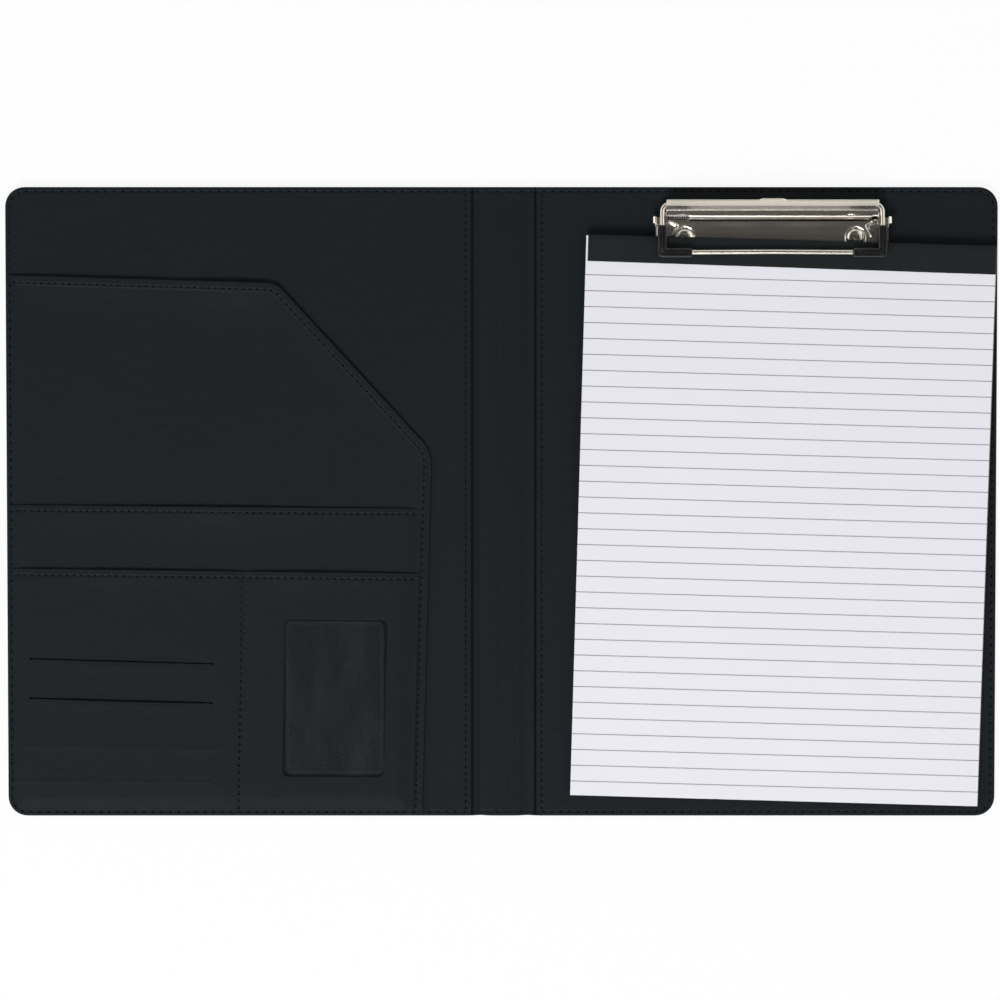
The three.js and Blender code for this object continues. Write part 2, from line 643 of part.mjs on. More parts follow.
function cornerTip(side) {
  const legX = (side * BAIL_WIDTH) / 2;
  const legs = [legX - TIP_WIDTH / 2, legX + TIP_WIDTH / 2];
  const foot = [legX - side * TIP_FOOT, legX + (side * TIP_WIDTH) / 2].sort((a, b) => a - b);
  const front = -BAIL_REACH - TIP_WIDTH / 2;
  const rise = TIP_HEIGHT / 2;
  const edge = (y, sign) => [y, legHeight(y) + sign * rise];
  const profile = [
    edge(front, -1), edge(-BAIL_LEVEL, -1), edge(-TIP_LEG, -1),
    edge(-TIP_LEG, 1), edge(-BAIL_LEVEL, 1), edge(front, 1),
  ].map(([y, z]) => new THREE.Vector2(y, z));
  const leg = alongX(profile, ...legs);
  const toe = block(foot, [front, front + TIP_WIDTH], [BAIL_Z - rise, BAIL_Z + rise]);
  return cut(join(leg, toe), wire(bailRoute(), BAIL_WIRE / 2 + RUNNING_GAP, 10));
}

// Lever: a lip over the barrel, a sloping flange, an ear with an eye for the pin at each end, and
// a curled cradle under each leg of the bail
function leverSection() {
  const slope = radians(LEVER_ANGLE);
  const tip = [LIP_REAR + FLANGE * Math.cos(slope), LIP_Z + FLANGE * Math.sin(slope)];
  return { line: [[LIP_FRONT, LIP_Z], [LIP_REAR, LIP_Z], tip], tip, slope };
}

function thumbTab() {
  const { tip, slope } = leverSection();
  const [w, t] = [THUMB_WIDTH / 2, THUMB_RISE];
  const tab = slab(
    outline([[-w, -LEVER], [w, -LEVER], [w, 0], [w - 2 * t, t], [2 * t - w, t], [-w, 0]]),
    -THUMB_SHEET / 2,
    THUMB_SHEET,
  );
  return tab.applyMatrix4(new THREE.Matrix4().makeRotationX(slope)).translate(0, ...tip);
}

function leverEar(side) {
  const eye = BARREL_RADIUS - RUNNING_GAP;
  const low = BAIL_WIRE / 2 + RUNNING_GAP + LEVER;
  const high = BAIL_WIRE / 2 - RUNNING_GAP;
  const profile = [
    [-CRADLE_FRONT, legHeight(-CRADLE_FRONT) - low],
    [-eye, legHeight(-eye) - low],
    ...arc(0, PIN_Z, eye, 180, 360, 10),
    [eye, LIP_Z],
    [LIP_FRONT, LIP_Z + LEVER / 2],
    [-CRADLE_REAR, legHeight(-CRADLE_REAR) + high],
    [-CRADLE_FRONT, legHeight(-CRADLE_FRONT) + high],
  ].map(([y, z]) => new THREE.Vector2(y, z));
  const outer = (side * LEVER_WIDTH) / 2;
  const faces = [outer, outer - side * LEVER].sort((a, b) => a - b);
  return alongX(profile, ...faces, [circle(PIN_RADIUS + RUNNING_GAP, 16, 0, PIN_Z)]);
}

function cradle(side) {
  const floor = -BAIL_WIRE / 2 - RUNNING_GAP - LEVER / 2;
  const inner = LEVER_WIDTH / 2 - BAIL_WIDTH / 2 - LEVER / 2;
  const middle = CURL - LEVER / 2;
  const bend = BAIL_WIRE / 2 + RUNNING_GAP + CURL;
  const line = [[inner, floor], ...arc(bend, floor + middle, middle, -90, 90, 8)];
  const sheet = line.map(([x, z]) => [side * x, z]);
  const length = CRADLE_FRONT - CRADLE_REAR;
  const strip = alongY(bentSheet(sheet, LEVER), -length / 2, length / 2);
  const centre = -(CRADLE_FRONT + CRADLE_REAR) / 2;
  return strip
    .applyMatrix4(new THREE.Matrix4().makeRotationX(Math.atan(LEG_SLOPE)))
    .translate((side * BAIL_WIDTH) / 2, centre, legHeight(centre));
}

function lever() {
  const half = LEVER_WIDTH / 2 - FLANGE_STEP;
  const body = alongX(bentSheet(leverSection().line, LEVER), -half, half);
  const ends = [-1, 1].flatMap((side) => [leverEar(side), cradle(side)]);
  return join(body, thumbTab(), ...ends);
}

// Torsion spring on the pin between the left ear and the barrel: it starts with a straight leg
// under the lever's lip, winds over the pin and ends with a leg that slopes down to the plate
function springRoute() {
  const count = Math.round(SPRING_STEPS * SPRING_TURNS);
  const coil = Array.from({ length: count + 1 }, (_, i) => {
    const turn = i / SPRING_STEPS;
    const angle = 2 * Math.PI * turn + Math.PI / 2;
    return new THREE.Vector3(
      SPRING_PITCH * turn,
      SPRING_RADIUS * Math.cos(angle),
      PIN_Z + SPRING_RADIUS * Math.sin(angle),
    );
  });
  const lipLeg = coil[0].clone().add(new THREE.Vector3(0, LIP_REAR, 0));
  const drop = coil.at(-1).z - PLATE - SEAT_GAP - SPRING_WIRE / 2;
  const plateLeg = coil.at(-1).clone().add(new THREE.Vector3(0, -drop, -drop));
  const room = BARREL_LEFT + LEVER_WIDTH / 2 - LEVER;
  const start = LEVER - LEVER_WIDTH / 2 + (room - count * SPRING_PITCH / SPRING_STEPS) / 2;
  return [lipLeg, ...coil, plateLeg].map((point) => point.add(new THREE.Vector3(start, 0, 0)));
}

function leastGap(points, skip, diameter) {
  const gaps = points.flatMap((point, i) =>
    points.slice(i + skip).map((other) => point.distanceTo(other) - diameter));
  return Math.min(...gaps);
}

function addBackClip(group) {
  const clip = new THREE.Group();
  clip.position.set(CLIP_ACROSS, PIN_UP, TOP);
  group.add(clip);
  part(clip, 'clip_base_plate', basePlate(), nickelFinish());
  part(clip, 'clip_pin', pivotPin(), steelFinish());
  [['left', -1], ['right', 1]].forEach(([name, side]) => {
    const place = part(clip, `rivet_${name}`, rivet(), nickelFinish());
    place.position.set(rivetX(side), -RIVET_FRONT, 0);
  });
}

function addJaw(group) {
  const jaw = new THREE.Group();
  jaw.position.set(CLIP_ACROSS, PIN_UP, TOP);
  group.add(jaw);
  part(jaw, 'clip_lever', lever(), nickelFinish());
  part(jaw, 'wire_bail', wire(bailRoute(), BAIL_WIRE / 2, 10), nickelFinish());
  part(jaw, 'corner_tip_left', cornerTip(-1), tipFinish());
  part(jaw, 'corner_tip_right', cornerTip(1), tipFinish());
  const route = springRoute();
  part(jaw, 'lever_spring', wire(route, SPRING_WIRE / 2, 5), steelFinish());
  const gap = leastGap(route, SPRING_STEPS / 2, SPRING_WIRE);
  console.log(`Least gap between the turns of the spring: ${gap.toFixed(2)} mm`);
}

// Writing pad, in its own frame: x and y from its centre, z from the underside of its card
const padEdge = PAD_WIDTH / 2;
const staplePlaces = [-STAPLE_SPACING / 2, STAPLE_SPACING / 2];

function padLayer(z, thickness) {
  const head = PAD_HEAD - TAPE_WRAP;
  const [w, d] = [STAPLE_CROWN / 2 + RUNNING_GAP, STAPLE_WIRE / 2 + RUNNING_GAP];
  const slots = staplePlaces.map((x) =>
    oblong([x - w, x + w], [PAD_HEAD - STAPLE_UP - d, PAD_HEAD - STAPLE_UP + d]));
  return slab(oblong([-padEdge, padEdge], [-PAD_HEAD, head]), z, thickness, slots);
}

function staple(x) {
  const half = (STAPLE_CROWN - STAPLE_WIRE) / 2;
  const low = STAPLE_WIRE / 2;
  const high = STACK_Z + PAD_STACK - STAPLE_WIRE / 2;
  const left = [[-STAPLE_CLINCH / 2, low], [-half, low], [-half, high]];
  const line = [...left, ...mirrored(left)].map(([u, v]) => [u + x, v]);
  const y = PAD_HEAD - STAPLE_UP;
  return alongY(bentSheet(line, STAPLE_WIRE), y - STAPLE_WIRE / 2, y + STAPLE_WIRE / 2);
}

// Upper edge of the top sheet or lower edge of the tape, set off from the tape's own edge
function tapeEdge(offset) {
  return [
    [padEdge, PAD_HEAD - TAPE_RIGHT - offset],
    [-padEdge, PAD_HEAD - TAPE_LEFT - offset],
  ];
}

function topSheet() {
  const sheet = outline([[-padEdge, -PAD_HEAD], [padEdge, -PAD_HEAD], ...tapeEdge(LAYER_GAP)]);
  return slab(sheet, FACE_Z, SHEET);
}

function bindingTape() {
  const left = TAPE_INSET - padEdge;
  const [right, leftEdge] = tapeEdge(0);
  const cover = outline([[left, leftEdge[1]], right, [padEdge, PAD_HEAD], [left, PAD_HEAD]]);
  const face = slab(cover, FACE_Z, TAPE);
  const head = block([left, padEdge], [PAD_HEAD - TAPE, PAD_HEAD], [-TAPE_WRAP, FACE_Z + TAPE]);
  const back = block([left, padEdge], [PAD_HEAD - TAPE_BACK, PAD_HEAD], [-TAPE_WRAP, -LAYER_GAP]);
  return join(face, head, back);
}

function addPad(group) {
  const turned = new THREE.Group();
  turned.position.set(PAD_ACROSS, PAD_UP, TOP + padUnderAt(PAD_UP));
  turned.rotation.z = radians(PAD_TURN);
  const pad = new THREE.Group();
  pad.rotation.x = PAD_LEAN;
  turned.add(pad);
  group.add(turned);
  part(pad, 'pad_backing_card', padLayer(0, PAD_CARD), cardFinish());
  part(pad, 'pad_sheets', padLayer(STACK_Z, PAD_STACK), paperFinish());
  part(pad, 'pad_top_sheet', topSheet(), paperFinish());
  part(pad, 'pad_binding_tape', bindingTape(), tapeFinish());
  part(pad, 'pad_staple_left', staple(staplePlaces[0]), steelFinish());
  part(pad, 'pad_staple_right', staple(staplePlaces[1]), steelFinish());
}

const folder = new THREE.Group();
addPanel(folder, { name: 'back', flip: 1 }, BACK_FOLD_X, BACK_LINING_X, rivetHoles);
addPanel(folder, { name: 'front', flip: -1 }, -FRONT_FOLD_X, -FRONT_LINING_X, () => []);
addSpine(folder);
addPockets(folder);
addBackClip(folder);
addJaw(folder);
addPad(folder);

export default folder;
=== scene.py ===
"""Clipboard folder with a writing pad: the visual model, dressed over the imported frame.

Lengths are millimetres in the classes and become metres when a mesh is made. The folder lies open and
flat: X runs to the right, Y to the top edge and Z up from the table.
"""

import logging
from collections.abc import Callable, Sequence
from dataclasses import dataclass
from enum import Enum
from functools import cache
from itertools import product
from math import atan, ceil, cos, hypot, pi, radians, sin, tan

import bpy
import numpy as np
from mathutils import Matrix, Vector
from mathutils.geometry import tessellate_polygon
from numpy.typing import NDArray


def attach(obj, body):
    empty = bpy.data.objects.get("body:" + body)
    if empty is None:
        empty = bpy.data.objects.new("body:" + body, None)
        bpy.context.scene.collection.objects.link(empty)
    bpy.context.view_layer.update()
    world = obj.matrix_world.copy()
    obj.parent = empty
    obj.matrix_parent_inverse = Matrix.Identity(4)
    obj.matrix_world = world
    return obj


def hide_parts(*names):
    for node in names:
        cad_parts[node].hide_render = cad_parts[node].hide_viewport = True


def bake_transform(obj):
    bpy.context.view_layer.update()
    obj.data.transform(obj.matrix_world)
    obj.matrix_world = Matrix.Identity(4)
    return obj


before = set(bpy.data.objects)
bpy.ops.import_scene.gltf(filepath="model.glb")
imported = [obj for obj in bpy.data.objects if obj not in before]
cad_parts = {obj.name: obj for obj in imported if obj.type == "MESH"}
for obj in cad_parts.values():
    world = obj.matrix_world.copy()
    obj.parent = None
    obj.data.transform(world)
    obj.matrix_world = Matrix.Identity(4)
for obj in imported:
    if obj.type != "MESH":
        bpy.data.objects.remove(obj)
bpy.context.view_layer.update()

Array = NDArray[np.float64]
Spot = tuple[float, float, float]
Colour = tuple[float, float, float]
Edge = tuple[float, int]
Pair = tuple[float, float]
Box = tuple[float, float, float, float]
Grid = tuple[Array, Array]
Piece = bpy.types.Object
Material = bpy.types.Material
Numbers = NDArray[np.int64]
log = logging.getLogger("folder")

MM = 0.001
HALF_WIDTH = 254.5
HALF_HEIGHT = 162.0
CORNER = 10.0
TOP = 4.4
BACK_LINING = 18.0
FRONT_LINING = -15.5
BACK_FOLD = 13.5
FRONT_FOLD = -11.0
SPINE_MIDDLE = 1.25
STITCH = 3.57
EDGE_STITCH = 4.46
CREASE = radians(35)
EDGE_LINES = (0, 0.06, 0.16, 0.32, 0.55, 0.85, 1.0, 1.35, 1.65, 1.9, 2.15, 2.4, 2.65, 2.95, 3.3, 3.8, 4.6, 6,
              8, 10)


class Space(Enum):
    """Where a finish reads its coordinates."""

    OBJECT = "object"
    REST = "rest"


# Shapes as whole arrays


@dataclass
class Surface:
    """A closed surface: vertices in millimetres and faces that point outwards."""

    points: Array
    faces: list[list[int]]

    def joined(self, *others: "Surface") -> "Surface":
        """Joins surfaces without merging their vertices.

        Args:
            *others: Surfaces to add to this one.

        Returns:
            One surface that holds them all.
        """
        points, faces, start = [self.points], list(self.faces), len(self.points)
        for other in others:
            points.append(other.points)
            faces += [[start + i for i in face] for face in other.faces]
            start += len(other.points)
        return Surface(np.concatenate(points), faces)

    def moved(self, turn: Array, to: Sequence[float]) -> "Surface":
        """Returns the surface turned by a 3 x 3 matrix and then shifted."""
        return Surface(self.points @ turn.T + np.asarray(to), self.faces)


def ring_faces(count: int, places: int) -> tuple[Numbers, Numbers]:
    """Numbers a stack of rings and joins row r, place n to its neighbours in quads.

    Args:
        count: Number of rings.
        places: Number of places in each.

    Returns:
        The numbers, shape (count, places), and the quads, shape (faces, 4).
    """
    index = np.arange(count * places).reshape(count, places)
    beside = np.roll(index, -1, 1)
    return index, np.stack([index[:-1], beside[:-1], beside[1:], index[1:]], -1).reshape(-1, 4)


def ring_solid(rows: Array, first: Array | None = None, last: Array | None = None) -> Surface:
    """Closes a stack of rings with a pole at each end, fanned to its ring.

    Args:
        rows: Rings, shape (rings, places, 3), anticlockwise seen from the last one's side.
        first: Pole before the first ring, or its middle.
        last: Pole after the last ring, or its middle.

    Returns:
        The closed surface.
    """
    count, places = rows.shape[:2]
    first = rows[0].mean(0) if first is None else np.asarray(first, float)
    last = rows[-1].mean(0) if last is None else np.asarray(last, float)
    index, quads = ring_faces(count, places)
    low = np.full(places, count * places)
    fans = np.concatenate([
        np.stack([low, np.roll(index[0], -1), index[0]], -1),
        np.stack([low + 1, index[-1], np.roll(index[-1], -1)], -1),
    ])
    points = np.concatenate([rows.reshape(-1, 3), first[None], last[None]])
    return Surface(points, quads.tolist() + fans.tolist())


def loop_solid(rows: Array) -> Surface:
    """Closes a stack of equal loops with one flat face at each end.

    Args:
        rows: Loops, shape (stations, places, 3), anticlockwise seen from the last one's side.

    Returns:
        The closed surface.
    """
    index, quads = ring_faces(*rows.shape[:2])
    ends = lid(rows[0][::-1], index[0][::-1]) + lid(rows[-1], index[-1])
    return Surface(rows.reshape(-1, 3), quads.tolist() + ends)


def lid(loop: Array, index: Numbers) -> list[list[int]]:
    """Fills a loop that may have hollow corners.

    Args:
        loop: Its points, shape (places, 3), anticlockwise seen from outside.
        index: Their numbers in the mesh.

    Returns:
        Triangles that face the same way.
    """
    cut = np.array(tessellate_polygon([[Vector(point) for point in loop]]))
    whole = np.cross(loop, np.roll(loop, -1, 0)).sum(0)
    facing = np.cross(loop[cut[:, 1]] - loop[cut[:, 0]], loop[cut[:, 2]] - loop[cut[:, 0]]) @ whole
    cut = np.where(facing[:, None] < 0, cut[:, ::-1], cut)
    return index[cut].tolist()


def grid_solid(top: Array, bottom: Array, keep: Array | None = None) -> Surface:
    """Closes a sheet given as two grids, with walls round its edge and round its holes.

    Args:
        top: Upper face, shape (columns, rows, 3), columns along X and rows along Y.
        bottom: Lower face on the same grid.
        keep: Which cells exist, shape (columns - 1, rows - 1); all of them if None.

    Returns:
        The closed surface, without the vertices of the missing cells.
    """
    m, n = top.shape[:2]
    keep = np.ones((m - 1, n - 1), bool) if keep is None else keep
    up = np.arange(m * n).reshape(m, n)
    down = up + m * n
    a, b, c, d = up[:-1, :-1], up[1:, :-1], up[1:, 1:], up[:-1, 1:]
    e, f, g, h = down[:-1, :-1], down[1:, :-1], down[1:, 1:], down[:-1, 1:]
    ring = np.pad(keep, 1)
    gone = {"w": ring[:-2, 1:-1], "e": ring[2:, 1:-1], "s": ring[1:-1, :-2], "n": ring[1:-1, 2:]}
    walls = {"w": (a, d, h, e), "e": (c, b, f, g), "s": (b, a, e, f), "n": (d, c, g, h)}
    sets = [np.stack([a, b, c, d], -1)[keep], np.stack([e, h, g, f], -1)[keep]]
    sets += [np.stack(walls[side], -1)[keep & ~gone[side]] for side in walls]
    faces = np.concatenate(sets)
    used, renumbered = np.unique(faces, return_inverse=True)
    points = np.concatenate([top.reshape(-1, 3), bottom.reshape(-1, 3)])[used]
    return Surface(points, renumbered.reshape(faces.shape).tolist())


def net(lines_x: Array, lines_y: Array) -> Grid:
    """Returns the places where two sets of lines cross, columns along X and rows along Y."""
    x, y = np.meshgrid(lines_x, lines_y, indexing="ij")
    return x, y


def unit(vectors: Array) -> Array:
    """Returns the vectors at length one."""
    return vectors / np.maximum(np.linalg.norm(vectors, axis=-1, keepdims=True), 1e-9)


def smooth(value: Array, low: float, high: float) -> Array:
    """Returns 0 below low, 1 above high and a soft step between: 3t^2 - 2t^3."""
    t = np.clip((value - low) / (high - low), 0, 1)
    return t * t * (3 - 2 * t)


def bump(value: Array, centre: float | Array, width: float) -> Array:
    """Returns exp(-((value - centre) / width)^2)."""
    return np.exp(-(((value - centre) / width) ** 2))


def ripple(x: Array, y: Array, span: float, seed: int) -> Array:
    """Soft unevenness from -1 to 1: the mean of five sine waves in seeded directions.

    Args:
        x: Places along X.
        y: Places along Y.
        span: Mean wavelength in millimetres.
        seed: Number that fixes directions, lengths and phases.

    Returns:
        One value for each place.
    """
    rng = np.random.default_rng(seed)
    turn, phase = rng.uniform(0, pi, 5), rng.uniform(0, 2 * pi, 5)
    length = span * rng.uniform(0.6, 1.6, 5)
    along = x[..., None] * np.cos(turn) + y[..., None] * np.sin(turn)
    return np.sin(2 * pi * along / length + phase).mean(-1)


def edge_lines(low: float, high: float, step: float, fine: Sequence[float] = EDGE_LINES) -> Array:
    """Grid lines from low to high: fine ones at both ends and even ones of about a step between."""
    inner = np.linspace(low + fine[-1], high - fine[-1], max(2, ceil((high - low) / step)))[1:-1]
    return np.concatenate([low + np.array(fine), inner, high - np.array(fine)[::-1]])


def round_corners(
    x: Array, y: Array, sides: Sequence[Edge], ends: Sequence[Edge], r: float, fade: float = 0
) -> Grid:
    """Rounds a grid's corner between each side and each end: max(|a|, |b|) of a place becomes its radius.

    Args:
        x: Places along X.
        y: Places along Y.
        sides: X and outward direction of each side.
        ends: Y and outward direction of each end.
        r: Radius.
        fade: Beyond a corner the move dies out over this length; 0 at the grid's own corners.

    Returns:
        The moved places.
    """
    for (side, out), (end, up) in product(sides, ends):
        a, b = (x - side) * out + r, (y - end) * up + r
        inside = (a > 0) & (b > 0)
        most = np.maximum(a, b)
        share = np.where(inside, most / np.maximum(np.hypot(a, b), 1e-9), 1)
        if fade:
            share = 1 + (share - 1) * (1 - smooth(most, r, r + fade))
        x = np.where(inside, side + (a * share - r) * out, x)
        y = np.where(inside, end + (b * share - r) * up, y)
    return x, y


def both_ways(reach: float) -> list[Edge]:
    """Returns two edges at the same distance on either side of the middle."""
    return [(-reach, -1), (reach, 1)]


def route(stops: Sequence[Sequence[float]], step: float = 8) -> Array:
    """A line through the stops with each inner corner rounded to its radius.

    At a corner the line leaves r tan(turn / 2) early and follows the circle that touches both sides.

    Args:
        stops: (x, y, z) or (x, y, z, radius) each.
        step: Degrees between two points of a rounded corner.

    Returns:
        Points, shape (count, 3).
    """
    pts = np.array([s[:3] for s in stops], float)
    line = [pts[:1]]
    for i in range(1, len(stops) - 1):
        r = stops[i][3] if len(stops[i]) > 3 else 0
        a, b = unit(pts[i] - pts[i - 1]), unit(pts[i + 1] - pts[i])
        turn = float(np.arccos(np.clip(a @ b, -1, 1)))
        if r < 1e-6 or turn < 1e-4:
            line.append(pts[i][None])
            continue
        start = pts[i] - a * r * tan(turn / 2)
        side = unit(b - a * (a @ b))
        angle = np.linspace(0, turn, max(3, ceil(np.degrees(turn) / step)))[:, None]
        line.append(start + r * np.sin(angle) * a + r * (1 - np.cos(angle)) * side)
    return np.concatenate([*line, pts[-1:]])


def tube(path: Array, radius: float, sides: int = 16, up: Array | None = None, dome: float = 0.5) -> Surface:
    """A round wire: circles square to the path, with softly rounded ends.

    Args:
        path: Points, shape (count, 3).
        radius: Radius.
        sides: Sides of the circle.
        up: Direction, or one for each point, that fixes the circle's start.
        dome: How far each end bulges, as a share of the radius.

    Returns:
        The closed surface.
    """
    up = np.array([0.0, 0, 1]) if up is None else up
    along = unit(np.gradient(path, axis=0))
    off, share = np.array([1.0, 0.8])[:, None] * radius * dome, np.array([0.55, 0.9])
    path = np.concatenate([path[0] - off * along[0], path, (path[-1] + off * along[-1])[::-1]])
    r = radius * np.concatenate([share, np.ones(len(along)), share[::-1]])
    along = np.pad(along, ((2, 2), (0, 0)), "edge")
    if np.ndim(up) == 2:
        up = np.pad(up, ((2, 2), (0, 0)), "edge")
    b = unit(up - along * (along * up).sum(-1, keepdims=True))
    a = np.cross(b, along)
    angle = np.linspace(0, 2 * pi, sides, endpoint=False)[None, :, None]
    rows = path[:, None] + r[:, None, None] * (np.cos(angle) * a[:, None] + np.sin(angle) * b[:, None])
    return ring_solid(rows)


def turned(profile: Sequence[Pair], centre: Spot, axis: Spot, sides: int = 40) -> Surface:
    """A turned form: the profile (radius, height) carried round the axis.

    Args:
        profile: From the lower pole to the upper one; the first and last radius are 0.
        centre: Where height 0 lies on the axis.
        axis: Direction of the axis.
        sides: Sides of each circle.

    Returns:
        The closed surface.
    """
    shape = np.array(profile, float)
    w = unit(np.array(axis, float))
    u = unit(np.cross([0.0, 1, 0] if abs(w[1]) < 0.9 else [1.0, 0, 0], w))
    v = np.cross(w, u)
    angle = np.linspace(0, 2 * pi, sides, endpoint=False)[None, :, None]
    circle = np.cos(angle) * u + np.sin(angle) * v
    inner = shape[1:-1]
    rows = np.array(centre) + inner[:, :1, None] * circle + inner[:, 1:, None] * w
    poles = [np.array(centre) + shape[i][1] * w for i in (0, -1)]
    return ring_solid(rows, *poles)


def run_of(path: Array) -> Array:
    """Returns how far along its line each point lies."""
    return np.concatenate([[0], np.cumsum(np.linalg.norm(np.diff(path, axis=0), axis=1))])


def spots_at(path: Array, places: Array) -> Array:
    """Returns a line's points at the given distances along it."""
    run = run_of(path)
    return np.stack([np.interp(places, run, path[:, k]) for k in range(3)], -1)


def dense(path: Array, step: float = 0.8) -> Array:
    """Returns the line with points a step apart."""
    length = run_of(path)[-1]
    return spots_at(path, np.linspace(0, length, ceil(length / step) + 1))


def stitches(path: Array, pitch: float = STITCH, thick: float = 0.36) -> Surface:
    """A row of stitches, one in the middle of each step: short six-sided threads, thin at their ends.

    The thread is rings at shares of its length, with radius thick times the ring's share, and it sinks
    at both ends by its own thickness. It is turned a little from the line.

    Args:
        path: The row's line, shape (count, 3).
        pitch: Step from stitch to stitch.
        thick: Half thickness of the thread.

    Returns:
        All stitches as one surface.
    """
    length, sides, slant, near = 1.2, 6, radians(4), 0.4
    whole = run_of(path)[-1]
    count = max(1, int(whole / pitch))
    places = (np.arange(count) + 0.5) * whole / count
    spots = spots_at(path, places)
    along = unit(spots_at(path, places + near) - spots_at(path, places - near))
    along = unit(along * cos(slant) + np.cross([0.0, 0, 1], along) * sin(slant))
    side = np.cross([0.0, 0, 1], along)
    share = np.array([-0.5, -0.36, 0.0, 0.36, 0.5])
    girth = np.array([0.45, 0.85, 1.0, 0.85, 0.45]) * thick
    sink = np.array([-1.0, -0.3, 0.0, -0.3, -1.0]) * thick
    angle = np.linspace(0, 2 * pi, sides, endpoint=False)
    across = (girth[:, None] * np.cos(angle))[None, :, :, None]
    rise = (girth[:, None] * np.sin(angle) + sink[:, None])[None, :, :, None]
    rows = (spots[:, None, None] + share[None, :, None, None] * length * along[:, None, None]
            + across * side[:, None, None] + rise * np.array([0.0, 0, 1]))
    one = ring_solid(rows[0])
    ends = np.stack([rows[:, 0].mean(1), rows[:, -1].mean(1)], 1)
    points = np.concatenate([rows.reshape(len(spots), -1, 3), ends], 1)
    walls = (len(share) - 1) * sides
    faces = [np.array(f) for f in (one.faces[:walls], one.faces[walls:])]
    steps = (np.arange(len(spots)) * points.shape[1])[:, None, None]
    quads, fans = ((steps + f[None]).reshape(-1, f.shape[1]) for f in faces)
    return Surface(points.reshape(-1, 3), quads.tolist() + fans.tolist())


# Finishes


def node_method(operation: str, swapped: bool = False) -> Callable[..., "Tap"]:
    """Makes a method of Tap out of a Math node's operation.

    Args:
        operation: The node's operation.
        swapped: Whether the tap's own value comes last instead of first.

    Returns:
        The method.
    """

    def method(self: "Tap", *others: "Tap | float") -> "Tap":
        """Returns the Math node's result."""
        return self.maths(operation, *((*others, self) if swapped else (self, *others)))

    return method


class Tap:
    """A shader value on which Python's operators add Math nodes."""

    def __init__(self, desk: "Desk", socket: bpy.types.NodeSocket) -> None:
        """Keeps the desk that adds nodes and the socket that gives the value."""
        self.desk = desk
        self.socket = socket

    def maths(self, operation: str, *values: "Tap | float") -> "Tap":
        """Returns the Math node's result for the given values."""
        inputs = dict(enumerate(values))
        return self.desk.tap("ShaderNodeMath", {"operation": operation}, inputs)

    __add__, __radd__ = node_method("ADD"), node_method("ADD", True)
    __sub__, __rsub__ = node_method("SUBTRACT"), node_method("SUBTRACT", True)
    __mul__, __rmul__ = node_method("MULTIPLY"), node_method("MULTIPLY", True)
    __truediv__, __pow__ = node_method("DIVIDE"), node_method("POWER")
    __abs__, sine, fraction = node_method("ABSOLUTE"), node_method("SINE"), node_method("FRACT")

    def bell(self, centre: float, width: float) -> "Tap":
        """Returns exp(-((self - centre) / width)^2)."""
        off = (self - centre) / width
        return self.maths("EXPONENT", off * off * -1.0)

    def step(self, low: float, high: float) -> "Tap":
        """Returns a soft step from 0 at low to 1 at high."""
        settings = {"interpolation_type": "SMOOTHSTEP"}
        return self.desk.tap("ShaderNodeMapRange", settings, {0: self, 1: low, 2: high, 3: 0.0, 4: 1.0})


